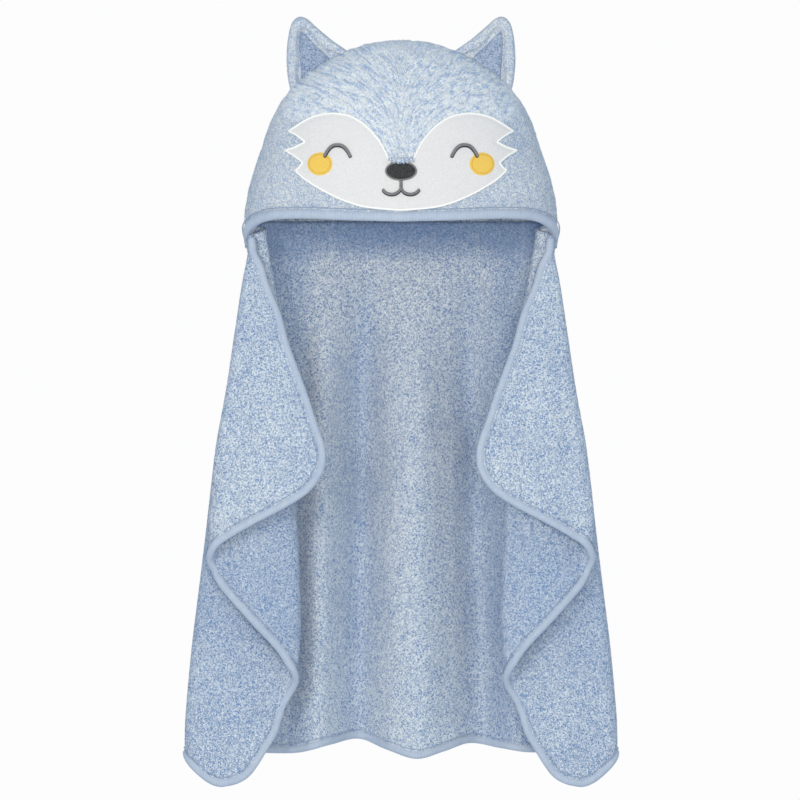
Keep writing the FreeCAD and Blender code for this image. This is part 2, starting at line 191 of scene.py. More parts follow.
def lengths_along(line: list[Vector]) -> list[float]:
    """How far along a line each of its points is.

    Args:
        line: the line's points.

    Returns:
        One length a point, from 0.
    """
    lengths = [0.0]
    for a, b in zip(line, line[1:]):
        lengths.append(lengths[-1] + (b - a).length)
    return lengths


def stations(line: list[Vector], step: float, closed: bool = False) -> list[tuple[int, float]]:
    """Places evenly spaced along a line.

    Args:
        line: the line's points.
        step: about how far apart the places are.
        closed: whether the last point is the first one again, and so isn't wanted twice.

    Returns:
        For each place the point before it, and the share of the way from that to the next.
    """
    lengths = lengths_along(line)
    total = lengths[-1]
    count = max(2, round(total / step))
    out, at = [], 0
    for i in range(count + (0 if closed else 1)):
        want = total * i / count
        while at < len(lengths) - 2 and lengths[at + 1] < want:
            at += 1
        width = lengths[at + 1] - lengths[at]
        share = (want - lengths[at]) / width if width else 0.0
        out.append((at, min(1.0, share)))
    return out


def spaced(line: list[Vector], step: float, closed: bool = False) -> list[Vector]:
    """The same line with its points evenly spaced, about a step apart."""
    return [line[i].lerp(line[i + 1], share) for i, share in stations(line, step, closed)]


def even(
    points: list[Vector], normals: list[Vector], step: float
) -> tuple[list[Vector], list[Vector]]:
    """Points and their normals, spaced evenly along the line.

    Args:
        points: the line's points.
        normals: the direction at each.
        step: about how far apart the new points are.

    Returns:
        The new points and their normals.
    """
    spots, facing = [], []
    for i, share in stations(points, step):
        spots.append(points[i].lerp(points[i + 1], share))
        facing.append(normals[i].lerp(normals[i + 1], share).normalized())
    return spots, facing


def resampled(values: list[Vector], count: int) -> list[Vector]:
    """Directions spread evenly over a new count.

    Args:
        values: the directions.
        count: how many are wanted.

    Returns:
        The new directions, each of length 1.
    """
    last = len(values) - 1
    out = []
    for i in range(count):
        at = i * last / (count - 1)
        low = min(int(at), last - 1)
        out.append(values[low].lerp(values[low + 1], at - low).normalized())
    return out


# ------------------------------------------------------------------ finishes


def colour(red: float, green: float, blue: float) -> Colour:
    """A linear colour from its screen values.

    Args:
        red: from 0 to 255.
        green: from 0 to 255.
        blue: from 0 to 255.

    Returns:
        The opaque colour.
    """
    parts = []
    for value in (red, green, blue):
        c = value / 255
        parts.append(c / 12.92 if c <= 0.04045 else ((c + 0.055) / 1.055) ** 2.4)
    return (*parts, 1.0)


class Surface(Enum):
    """How a finish gets its fine relief."""

    PILE = "pile"
    KNIT = "knit"
    FELT = "felt"
    THREAD = "thread"
    LOCKS = "locks"


# The heights of a relief that get a finish's low and its high colour. The low colour, in the relief's
# hollows, is partly the fibres' uneven tone and partly painted shade.
TONES: dict[Surface, Point] = {
    Surface.PILE: (0.5, 1.16),
    Surface.KNIT: (0.42, 2.0),
    Surface.FELT: (0.3, 0.68),
    Surface.THREAD: (0.42, 1.9),
    Surface.LOCKS: (0.42, 1.3),
}
# How much slow variation a tone gets, what is taken off it everywhere, and how much more is taken off as
# painted shade for a hollow value of 1.
SLOW_SHARE = 0.35
LEVEL = 0.17
PAINTED_SHADE = 0.36


@dataclass(frozen=True)
class Finish:
    """One cloth or thread and its look."""

    name: str
    surface: Surface
    high: Colour
    low: Colour
    scale: float
    relief: float
    sheen: float = 0.3
    rough: float = 0.9
    distort: float = 0.6

    def material(self) -> bpy.types.Material:
        """The finish as a node material, made once."""
        made = bpy.data.materials.get(self.name)
        return made or FinishNodes(self).material


class FinishNodes:
    """Builds the node tree of a finish."""

    def __init__(self, finish: Finish) -> None:
        """Makes the material.

        Args:
            finish: what to build.
        """
        self.finish = finish
        self.material = bpy.data.materials.new(finish.name)
        self.material.use_nodes = True
        self.tree = self.material.node_tree
        self.shader = self.tree.nodes["Principled BSDF"]
        self.place = self.node("ShaderNodeTexCoord").outputs
        self.shader.inputs["Roughness"].default_value = finish.rough
        self.shader.inputs["Sheen Weight"].default_value = finish.sheen
        self.shader.inputs["Sheen Roughness"].default_value = 0.5
        self.shader.inputs["Specular IOR Level"].default_value = 0.2
        fine = {
            Surface.PILE: self.pile,
            Surface.KNIT: self.knit,
            Surface.FELT: self.felt,
            Surface.THREAD: self.thread,
            Surface.LOCKS: self.locks,
        }[finish.surface]()
        self.dress(fine)

    def node(self, kind: str, **values: object) -> bpy.types.Node:
        """Adds a node.

        Args:
            kind: the node's type.
            values: its input values by name, with an underscore for a space.

        Returns:
            The new node.
        """
        made = self.tree.nodes.new(kind)
        for key, value in values.items():
            made.inputs[key.replace("_", " ")].default_value = value
        return made

    def link(self, source: bpy.types.NodeSocket, target: bpy.types.NodeSocket) -> None:
        """Joins two sockets."""
        self.tree.links.new(source, target)

    def worked(self, operation: str, *values: object) -> bpy.types.NodeSocket:
        """Adds a math node.

        Args:
            operation: what it does.
            values: its inputs in order, each a socket or a fixed float.

        Returns:
            The result.
        """
        made = self.tree.nodes.new("ShaderNodeMath")
        made.operation = operation
        for value, target in zip(values, made.inputs):
            if isinstance(value, float):
                target.default_value = value
            else:
                self.link(value, target)
        return made.outputs[0]

    def sum_of(
        self, first: bpy.types.NodeSocket, second: bpy.types.NodeSocket, share: float
    ) -> bpy.types.NodeSocket:
        """First plus share times second."""
        return self.worked("MULTIPLY_ADD", second, share, first)

    def kept(self, name: str) -> bpy.types.NodeSocket:
        """Reads a value that the mesh keeps at each of its points.

        Args:
            name: the value's name.

        Returns:
            The value.
        """
        made = self.tree.nodes.new("ShaderNodeAttribute")
        made.attribute_name = name
        return made.outputs["Fac"]

    def grain(self, scale: float, detail: float, distort: float) -> bpy.types.NodeSocket:
        """A noise on the piece's own coordinates.

        Args:
            scale: how fine it is.
            detail: how many finer noises are added.
            distort: how much it is bent.

        Returns:
            The noise, around 0.5.
        """
        made = self.node("ShaderNodeTexNoise", Scale=scale, Detail=detail, Distortion=distort)
        self.link(self.place["Object"], made.inputs["Vector"])
        return made.outputs["Fac"]

    def wave(self, scale: float, axis: str, distort: float) -> bpy.types.NodeSocket:
        """Even ridges along a strip's own map, across its length or along it.

        Args:
            scale: how close the ridges are.
            axis: X for ridges across the length, Y for ridges along it.
            distort: how much they are bent.

        Returns:
            The ridges, from 0 to 1.
        """
        made = self.node(
            "ShaderNodeTexWave", Scale=scale, Distortion=distort, Detail=1.0, Detail_Scale=2.0
        )
        made.bands_direction = axis
        self.link(self.place["UV"], made.inputs["Vector"])
        return made.outputs["Fac"]

    def curls(self, scale: float) -> bpy.types.NodeSocket:
        """Curled loops: bright where a bent noise crosses its middle value.

        Args:
            scale: how fine the loops are.

        Returns:
            The loops, from 0 to 1.
        """
        away = self.worked("SUBTRACT", self.grain(scale, 1.0, self.finish.distort), 0.5)
        loop = self.node("ShaderNodeMapRange", From_Max=0.17, To_Min=1.0, To_Max=0.0)
        loop.interpolation_type = "SMOOTHSTEP"
        self.link(self.worked("ABSOLUTE", away), loop.inputs["Value"])
        return loop.outputs["Result"]

    def pile(self) -> bpy.types.NodeSocket:
        """Terry loops: curls of two sizes over an uneven ground."""
        loops = self.sum_of(self.curls(self.finish.scale), self.curls(self.finish.scale * 1.8), 0.6)
        return self.sum_of(loops, self.grain(110.0, 1.0, 0.3), 0.14)

    def locks(self) -> bpy.types.NodeSocket:
        """Terry loops that turn into combed locks where the fur share says so.

        Returns:
            The relief's height.
        """
        place = self.tree.nodes.new("ShaderNodeUVMap")
        place.uv_map = "flow"
        streak = self.node("ShaderNodeTexNoise", Scale=1.0, Detail=2.0, Distortion=0.7)
        self.link(place.outputs["UV"], streak.inputs["Vector"])
        lock = self.node("ShaderNodeMapRange", From_Min=0.28, From_Max=0.55, To_Max=0.7)
        self.link(streak.outputs["Fac"], lock.inputs["Value"])
        fine = self.sum_of(lock.outputs["Result"], self.curls(self.finish.scale * 1.2), 0.85)
        mix = self.tree.nodes.new("ShaderNodeMix")
        self.link(self.kept("fur"), mix.inputs["Factor"])
        self.link(self.pile(), mix.inputs[2])
        self.link(fine, mix.inputs[3])
        return mix.outputs[0]

    def knit(self) -> bpy.types.NodeSocket:
        """Smooth stretch knit with faint creases across the strip.

        Returns:
            The relief's height.
        """
        ribs = self.wave(self.finish.scale, "X", 2.5)
        fine = self.sum_of(self.grain(900.0, 2.0, 0.2), ribs, 0.28)
        return self.sum_of(fine, self.grain(110.0, 2.0, 0.5), 0.9)

    def felt(self) -> bpy.types.NodeSocket:
        """Short brushed nap."""
        return self.grain(self.finish.scale, 3.0, self.finish.distort)

    def thread(self) -> bpy.types.NodeSocket:
        """Threads laid side by side across a stitched line."""
        laid = self.wave(self.finish.scale, "X", 0.6)
        return self.sum_of(self.grain(700.0, 1.0, 0.0), laid, 1.2)

    def painted_shade(self) -> bpy.types.NodeSocket:
        """How much painted shade the pile gets, on its faces that look forward.

        Returns:
            The mesh's hollow value, which fades out as a face turns from the front to the back.
        """
        apart = self.node("ShaderNodeSeparateXYZ")
        self.link(self.node("ShaderNodeNewGeometry").outputs["Normal"], apart.inputs[0])
        forward = self.node("ShaderNodeMapRange", From_Min=0.3, From_Max=-0.5)
        self.link(apart.outputs["Y"], forward.inputs["Value"])
        return self.worked("MULTIPLY", self.kept("hollow"), forward.outputs["Result"])

    def dress(self, fine: bpy.types.NodeSocket) -> None:
        """Colours the relief, with painted shade as well as uneven tone in its hollows, adds slow
        variation and bumps the surface.

        Args:
            fine: the relief's height.
        """
        low, high = TONES[self.finish.surface]
        tone = self.node("ShaderNodeMapRange", From_Min=low, From_Max=high)
        self.link(fine, tone.inputs["Value"])
        shade = self.sum_of(tone.outputs["Result"], self.grain(14.0, 2.0, 0.0), SLOW_SHARE)
        level = LEVEL
        # Painted shade: the pile gets darker where the mesh's hollow value says, in valleys, beside and
        # under the flaps and under the hood's rim.
        if self.finish.surface is Surface.PILE:
            level = self.worked("MULTIPLY_ADD", self.painted_shade(), PAINTED_SHADE, LEVEL)
        shift = self.worked("SUBTRACT", shade, level)
        shift.node.use_clamp = True
        mix = self.tree.nodes.new("ShaderNodeMix")
        mix.data_type = "RGBA"
        self.link(shift, mix.inputs["Factor"])
        mix.inputs[6].default_value = self.finish.low
        mix.inputs[7].default_value = self.finish.high
        self.link(mix.outputs[2], self.shader.inputs["Base Color"])
        bump = self.node("ShaderNodeBump", Distance=self.finish.relief * MM)
        self.link(fine, bump.inputs["Height"])
        self.link(bump.outputs["Normal"], self.shader.inputs["Normal"])


PLUSH = Finish(
    "blue_plush",
    Surface.PILE,
    high=colour(243, 249, 255),
    low=colour(122, 155, 203),
    scale=440.0,
    relief=0.45,
    sheen=0.1,
    distort=1.0,
)
# Painted light: the same blue terry as the plush, with combed locks, in lighter colours that make up for
# the dimmer light on the sides of the hood and on the ears.
FUR = Finish(
    "blue_fur",
    Surface.LOCKS,
    high=colour(252, 254, 255),
    low=colour(158, 186, 226),
    scale=480.0,
    relief=0.5,
    sheen=0.1,
    distort=1.0,
)
EAR_PLUSH = Finish(
    "inner_ear_plush",
    Surface.PILE,
    high=colour(194, 206, 226),
    low=colour(98, 126, 170),
    scale=500.0,
    relief=0.3,
    sheen=0.1,
    distort=1.0,
)
BINDING = Finish(
    "blue_binding_knit",
    Surface.KNIT,
    high=colour(206, 213, 226),
    low=colour(165, 180, 203),
    scale=9.0,
    relief=0.6,
    sheen=0.15,
)
LINING = Finish(
    "blue_lining",
    Surface.FELT,
    high=colour(186, 202, 225),
    low=colour(150, 172, 204),
    scale=600.0,
    relief=0.4,
)
WHITE_FELT = Finish(
    "brushed_white_felt",
    Surface.FELT,
    high=colour(232, 229, 229),
    low=colour(222, 219, 219),
    scale=500.0,
    relief=0.4,
)
WHITE_THREAD = Finish(
    "cream_satin_stitch",
    Surface.THREAD,
    high=colour(255, 255, 253),
    low=colour(252, 250, 245),
    scale=45.0,
    relief=0.03,
)
YELLOW_FELT = Finish(
    "brushed_yellow_felt",
    Surface.FELT,
    high=colour(246, 206, 100),
    low=colour(236, 192, 84),
    scale=700.0,
    relief=0.4,
)
YELLOW_THREAD = Finish(
    "yellow_thread",
    Surface.THREAD,
    high=colour(250, 212, 98),
    low=colour(216, 170, 58),
    scale=45.0,
    relief=0.2,
)
GREY_THREAD = Finish(
    "grey_satin_stitch",
    Surface.THREAD,
    high=colour(172, 172, 175),
    low=colour(105, 105, 108),
    scale=45.0,
    relief=0.25,
    sheen=0.1,
    rough=0.55,
)
CHARCOAL_FILL = Finish(
    "charcoal_fill_stitch",
    Surface.FELT,
    high=colour(78, 78, 78),
    low=colour(22, 22, 24),
    scale=900.0,
    relief=0.8,
    sheen=0.1,
    rough=0.7,
)
# Painted shadow: the dark thread colour of the strip laid under the satin lines' lower edge.
SHADOW_THREAD = Finish(
    "painted_shadow_thread",
    Surface.THREAD,
    high=colour(70, 70, 72),
    low=colour(26, 26, 28),
    scale=45.0,
    relief=0.2,
    sheen=0.1,
    rough=0.7,
)
BLUE_THREAD = Finish(
    "blue_sewing_thread",
    Surface.THREAD,
    high=colour(190, 206, 228),
    low=colour(140, 164, 198),
    scale=45.0,
    relief=0.2,
)
WADDING = Finish(
    "soft_wadding",
    Surface.FELT,
    high=colour(240, 240, 238),
    low=colour(210, 210, 208),
    scale=200.0,
    relief=1.0,
)


# ------------------------------------------------------------------ mesh helpers


def finish_piece(
    name: str,
    bm: bmesh.types.BMesh,
    finish: Finish,
    replaces: Iterable[str] = (),
    body: str = ROOT,
) -> bpy.types.Object:
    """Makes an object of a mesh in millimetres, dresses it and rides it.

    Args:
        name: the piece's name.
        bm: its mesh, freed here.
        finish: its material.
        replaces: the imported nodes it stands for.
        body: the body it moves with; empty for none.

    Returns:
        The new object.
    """
    bmesh.ops.scale(bm, vec=Vector((MM, MM, MM)), verts=bm.verts)
    mesh = bpy.data.meshes.new(name)
    for face in bm.faces:
        face.smooth = True
    bm.to_mesh(mesh)
    bm.free()
    piece = bpy.data.objects.new(name, mesh)
    bpy.context.scene.collection.objects.link(piece)
    mesh.materials.append(finish.material())
    if replaces:
        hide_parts(*replaces)
    if body:
        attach(piece, body)
    return piece


def mapped_grid(
    columns: int, rows: int, place: Callable[[float, float], Vector]
) -> bmesh.types.BMesh:
    """A grid whose points are put in place by a function.

    Args:
        columns: how many faces it has across.
        rows: how many faces it has down.
        place: gives a point from its shares across and down, each from 0 to 1.

    Returns:
        The mesh, with its doubled points merged.
    """
    bm = bmesh.new()
    bmesh.ops.create_grid(bm, x_segments=columns, y_segments=rows, size=0.5)
    for vert in bm.verts:
        vert.co = place(vert.co.x + 0.5, vert.co.y + 0.5)
    bmesh.ops.remove_doubles(bm, verts=bm.verts, dist=0.02)
    bmesh.ops.dissolve_degenerate(bm, dist=0.005, edges=bm.edges)
    return bm


def outward(bm: bmesh.types.BMesh, away: Vector | None = None) -> None:
    """Turns the faces outwards.

    Args:
        bm: the mesh.
        away: for an open sheet, the direction that its faces should look in.
    """
    bmesh.ops.recalc_face_normals(bm, faces=bm.faces)
    if away is not None:
        total = sum((f.normal * f.calc_area() for f in bm.faces), Vector())
        if total.dot(away) < 0:
            bmesh.ops.reverse_faces(bm, faces=bm.faces)


def thicken(piece: bpy.types.Object, thickness: float, offset: float) -> None:
    """Gives a cloth its thickness.

    Args:
        piece: the cloth, as a sheet.
        thickness: in millimetres.
        offset: -1 for all of it inwards, 0 for half each way, 1 for all of it outwards.
    """
    solid = piece.modifiers.new("cloth", "SOLIDIFY")
    solid.thickness = thickness * MM
    solid.offset = offset
    solid.use_even_offset = False


@dataclass(frozen=True)
class Strip:
    """The section of a binding, cord or stitched line, in its inward and upward axes."""

    inner: float
    outer: float
    half_height: float
    power: float = 2.3
    taper: float = 0.0

    def at(self, share: float) -> Point:
        """A point of the section.

        Args:
            share: how far round it, from 0 to 1.

        Returns:
            The point, inwards and upwards.
        """
        turn = share * 2 * math.pi
        reach = (self.inner - self.outer) / 2
        middle = (self.inner + self.outer) / 2
        across = middle + reach * signed_power(math.cos(turn), 2 / self.power)
        thin = 1 - self.taper * ramp(across, middle, self.inner)
        return across, thin * self.half_height * signed_power(math.sin(turn), 2 / self.power)


@dataclass(frozen=True)
class Stitch:
    """A running stitch: its length, the space to the next one and the thread's width."""

    length: float
    gap: float
    thick: float


BINDING_STITCH = Stitch(length=1.8, gap=1.2, thick=1.1)
CHEEK_STITCH = Stitch(length=1.9, gap=0.9, thick=0.8)


@dataclass
class Route:
    """A line on a cloth with the cloth's normal at each point."""

    points: list[Vector]
    normals: list[Vector]
    closed: bool = False
    flip: float = 1.0

    def frame(self, i: int) -> tuple[Vector, Vector, Vector]:
        """The directions at a point.

        Args:
            i: the point's index.

        Returns:
            The tangent, the inward direction and the normal.
        """
        count = len(self.points)
        if self.closed:
            ahead, behind = self.points[(i + 1) % count], self.points[i - 1]
        else:
            ahead, behind = self.points[min(i + 1, count - 1)], self.points[max(i - 1, 0)]
        tangent = (ahead - behind).normalized()
        inward = (tangent.cross(self.normals[i]) * self.flip).normalized()
        return tangent, inward, inward.cross(tangent).normalized() * self.flip

    def turn_towards(self, place: Vector) -> None:
        """Makes the inward direction point to the side of the line that a place is on.

        Args:
            place: a place close beside the line.
        """
        spot = min(range(len(self.points)), key=lambda i: (self.points[i] - place).length)
        if self.frame(spot)[1].dot(place - self.points[spot]) < 0:
            self.flip = -1.0

    def swept(self, strip: Strip, around: int, round_ends: float = 0.0) -> bmesh.types.BMesh:
        """Sweeps a section along the route, with a map of its length and its turn.

        Args:
            strip: the section.
            around: how many faces go round it.
            round_ends: over what length the ends of an open route draw in.

        Returns:
            A closed mesh in millimetres.
        """
        count = len(self.points)
        rows = count if self.closed else count - 1
        frames = [self.frame(i) for i in range(count)]
        lengths = lengths_along(self.points)
        bm = bmesh.new()
        map_layer = bm.loops.layers.uv.new("strip")
        bmesh.ops.create_grid(bm, x_segments=around, y_segments=rows, size=0.5)
        where = {}
        for vert in bm.verts:
            row = round((vert.co.y + 0.5) * rows)
            where[vert] = (vert.co.x + 0.5, row)
            i = row % count
            _, inward, normal = frames[i]
            across, height = strip.at(vert.co.x + 0.5)
            if round_ends:
                near = min(lengths[i], lengths[-1] - lengths[i]) / round_ends
                shrink = math.sqrt(max(0.0, 1 - (1 - min(1.0, near)) ** 2))
                middle = (strip.inner + strip.outer) / 2
                across = middle + (across - middle) * shrink
                height *= shrink
            vert.co = self.points[i] + inward * across + normal * height
        total = lengths[-1]
        for face in bm.faces:
            for loop in face.loops:
                share, row = where[loop.vert]
                along = lengths[row] if row < count else total + (total / rows)
                loop[map_layer].uv = (along * 0.01, share)
        bmesh.ops.remove_doubles(bm, verts=bm.verts, dist=0.01)
        if not self.closed:
            rim = [edge for edge in bm.edges if edge.is_boundary]
            bmesh.ops.holes_fill(bm, edges=rim, sides=0)
        outward(bm)
        return bm


def stitched(route: Route, inset: float, lift: float, stitch: Stitch) -> bmesh.types.BMesh:
    """A running stitch beside a route: one thread that goes in and out of the cloth.

    Args:
        route: the line it follows, sampled finely.
        inset: how far inwards of the line it lies.
        lift: how far off the cloth's middle, negative for its other face.
        stitch: the stitch's sizes.

    Returns:
        The thread as one closed mesh.
    """
    points = []
    pitch = stitch.length + stitch.gap
    for i, along in enumerate(lengths_along(route.points)):
        point = route.points[i]
        _, inward, normal = route.frame(i)
        hidden = ramp(along % pitch, stitch.length, stitch.length + 0.45 * stitch.gap)
        sunk = hidden * 1.3 * math.copysign(1.0, lift)
        points.append(point + inward * inset + normal * (lift - sunk))
    sewn = Route(points, route.normals, route.closed, route.flip)
    half = stitch.thick / 2
    return sewn.swept(Strip(half, -half, half, 2.0), 5)


def merged(parts: Iterable[bmesh.types.BMesh]) -> bmesh.types.BMesh:
    """Several meshes as one.

    Args:
        parts: the meshes, freed here.

    Returns:
        The one mesh.
    """
    whole = bmesh.new()
    for part in parts:
        carrier = bpy.data.meshes.new("carrier")
        part.to_mesh(carrier)
        part.free()
        whole.from_mesh(carrier)
        bpy.data.meshes.remove(carrier)
    return whole


# ------------------------------------------------------------------ hood


# The hood front's flat length over a quarter circle as big as its depth: chosen, not measured.
DROP_FACTOR = 1.35


@dataclass
class Hood:
    """The domed hood: two shells joined at the crown seam, and the front's bound rim."""

    half_width: float = 184.0
    rise: float = 211.0
    front_depth: float = 95.0
    back_depth: float = 70.0
    cloth: float = 4.0
    lining_cloth: float = 1.5
    lining_gap: float = 1.2
    seam_sink: float = 1.6
    band: Strip = Strip(inner=10.5, outer=-1.6, half_height=4.9, power=2.1, taper=0.3)
    stitch_inset: float = 11.8
    stitch_lift: float = 3.3
    droop: Curve = field(
        default_factory=lambda: Curve(
            [(0.0, 0.0), (20.0, 1.6), (39.0, 3.5), (50.0, 3.0), (56.0, 2.0), (67.0, -3.4)]
            + [(75.0, -10.0), (82.0, -18.0), (90.0, -30.0)]
        )
    )
    lean: Curve = field(
        default_factory=lambda: Curve(
            [(-211.0, 1.0), (-172.0, 0.98), (-125.0, 0.966), (-85.0, 1.0), (-50.0, 1.02), (0.0, 1.0)]
        )
    )

    def place(self, across: float, down: float, front: bool, stand: float = 0.0) -> Vector:
        """A point of a shell.

        Args:
            across: from -1 at the left corner of the rim to 1 at the right one.
            down: from 0 on the crown seam to 1 on the rim.
            front: whether it is the front shell.
            stand: how far outside the shell's outer face.

        Returns:
            The point in millimetres.
        """
        beta = across * math.pi / 2
        alpha = down * math.pi / 2
        depth = self.front_depth if front else self.back_depth
        way = -1 if front else 1
        sink = self.seam_sink * math.exp(-((self.rise * alpha * math.cos(beta) / 3.0) ** 2))
        out = stand - sink
        x = (self.half_width + out) * math.sin(beta)
        y = way * (depth + out) * math.cos(beta) * math.sin(alpha)
        z = -self.rise + (self.rise + out) * math.cos(beta) * math.cos(alpha)
        z += self.droop(abs(across) * 90) * math.sin(alpha) ** 3
        x *= self.lean(z)
        x -= math.copysign(5.0 * ramp(abs(across), 0.82, 1.0) * math.sin(alpha) ** 3, x)
        return Vector((x, y, z))

    def front_y(self, x: float, z: float) -> float:
        """How far forward the front shell is at x and z."""
        flat = (x / (self.half_width * self.lean(z))) ** 2 + ((z + self.rise) / self.rise) ** 2
        return -self.front_depth * math.sqrt(max(0.0, 1 - flat))

    def front_normal(self, x: float, z: float) -> Vector:
        """The outward direction of the front shell at x and z."""
        y = self.front_y(x, z)
        return Vector(
            (x / self.half_width**2, y / self.front_depth**2, (z + self.rise) / self.rise**2)
        ).normalized()

    def on_front(self, x: float, z: float, stand: float) -> Vector:
        """A point that stands off the front shell."""
        return Vector((x, self.front_y(x, z), z)) + self.front_normal(x, z) * stand

    def flow(self, x: float, z: float) -> Point:
        """How far along and across the combed fur a place is, from the bridge of the nose."""
        across = 45.0 * math.log(1 + abs(x) / 14.0) - (z + 140.0)
        return math.hypot(x, z + 165.0) + 0.35 * x, across

    def fur(self, x: float, z: float) -> float:
        """The share of combed fur at a place of the front, against plain pile.

        Args:
            x: across the front.
            z: up from the crown, so negative.

        Returns:
            From 0 for plain pile to 1.
        """
        brow = -86.0 - 60.0 * ramp(50.0 - abs(x), 0.0, 42.0)
        below_crown = 0.4 + 0.6 * ramp(-z, 0.0, 16.0)
        return ramp(z, brow - 14.0, brow + 4.0) * ramp(148.0 - abs(x), 0.0, 30.0) * below_crown

    def locks(self, x: float, z: float) -> float:
        """The combed locks at a place of the front.

        Args:
            x: across the front.
            z: up from the crown, so negative.

        Returns:
            Their height, positive or negative.
        """
        along, across = self.flow(x, z)
        first = noise.noise(Vector((along / 13.0, across / 8.0, 0.0)))
        second = noise.noise(Vector((along / 7.0, across / 4.5, 7.0)))
        return 2.2 * first + 1.1 * second

    def shell(
        self,
        front: bool,
        columns: int,
        rows: int,
        stand: float = 0.0,
        clear_of: Callable[[float, float], float] = lambda x, z: 1e3,
    ) -> bmesh.types.BMesh:
        """One shell's outer face with a slightly uneven pile, and combed fur on the front.

        Args:
            front: whether it is the front shell.
            columns: how many faces it has across.
            rows: how many faces it has down.
            stand: how far outside the shell's outer face it lies.
            clear_of: how far a place on the front is outside the felt face.

        Returns:
            The sheet in millimetres.
        """
        reach = 1.0 if front else 1.07
        furry = front and stand == 0.0

        def spot(u: float, v: float) -> Vector:
            """The shell's point at shares across and down, with the back a little fuller low down."""
            across = 2 * u - 1
            fuller = 1.8 * ramp(v, 0.78, 0.93) * ramp(0.85 - abs(across), 0.0, 0.25)
            point = self.place(across, v * reach, front, stand + (0.0 if front else fuller))
            away = (point - Vector((0, 0, -self.rise))).normalized()
            rise = 0.9 * noise.noise(point / 9.0) + 0.35 * noise.noise(point / 3.5)
            if furry:
                rise += self.fur(point.x, point.z) * (self.locks(point.x, point.z) + 0.4)
                rise = mixed(-0.8, rise, ramp(clear_of(point.x, point.z), -1.0, 2.5))
            return point + away * rise

        bm = mapped_grid(columns, rows, spot)
        if furry:
            share = bm.verts.layers.float.new("fur")
            for vert in bm.verts:
                vert[share] = self.fur(vert.co.x, vert.co.z)
            lay = bm.loops.layers.uv.new("flow")
            for face in bm.faces:
                for loop in face.loops:
                    along, across = self.flow(loop.vert.co.x, loop.vert.co.z)
                    loop[lay].uv = (along / 10.0, across / 4.5)
        outward(bm, Vector((0, -1 if front else 1, 0)))
        return bm

    def rim_route(self, step: float = 2.5) -> Route:
        """The front rim from the left corner to the right one.

        Args:
            step: about how far apart its points are.

        Returns:
            The middle of the rim's cloth.
        """
        count = int(math.pi * self.half_width / step)
        points = [self.place(2 * i / count - 1, 1.0, True, -self.cloth / 2) for i in range(count + 1)]
        points = spaced(points, step)
        normals = []
        for point in points:
            out = Vector((point.x / self.half_width**2, point.y / self.front_depth**2, 0))
            corner = ramp(abs(point.x), self.half_width * 0.9, self.half_width)
            normals.append((out.normalized() - Vector((0, 0.5 * corner, 0))).normalized())
        return Route(points, normals, flip=1.0)

    def build(self, clear_of: Callable[[float, float], float]) -> None:
        """Makes the two shells, the lining and the rim's binding.

        Args:
            clear_of: how far a place on the front is outside the felt face.
        """
        bm = self.shell(True, 300, 150, clear_of=clear_of)
        front = finish_piece("hood_front", bm, FUR, ["hood_front_panel"])
        thicken(front, self.cloth, -1)
        back = finish_piece(
            "hood_back", self.shell(False, 200, 100), PLUSH, ["hood_back_panel"]
        )
        thicken(back, self.cloth, -1)
        lining_bm = self.shell(True, 120, 60, -self.cloth - self.lining_gap)
        lining = finish_piece("hood_lining", lining_bm, LINING, ["hood_front_lining"])
        thicken(lining, self.lining_cloth, -1)
        route = self.rim_route()
        route.turn_towards(self.place(0.0, 0.97, True))
        rim = finish_piece(
            "hood_rim_band", route.swept(self.band, 18), BINDING, ["hood_rim_binding"]
        )
        fine = Route(spaced(route.points, 0.5), [], flip=route.flip)
        fine.normals = resampled(route.normals, len(fine.points))
        seams = finish_piece(
            "hood_rim_stitches",
            stitched(fine, self.stitch_inset, self.stitch_lift, BINDING_STITCH),
            BLUE_THREAD,
        )
        arc = self.half_width * math.pi / 2
        down = self.front_depth * DROP_FACTOR * math.pi / 2
        for piece, width, length, extras in (
            (front, 2 * arc, down, [rim, seams]),
            (back, 2 * arc, down * 0.9, []),
            (lining, 2 * arc * 0.97, down * 0.97, []),
        ):
            area = cloth_area(piece)
            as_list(extras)
        LOG.info("hood: two shells, lining and bound rim")


def cloth_area(piece: bpy.types.Object) -> float:
    """The area of one face of a cloth before it gets its thickness, in square metres."""
    return sum(polygon.area for polygon in piece.data.polygons)


# ------------------------------------------------------------------ face


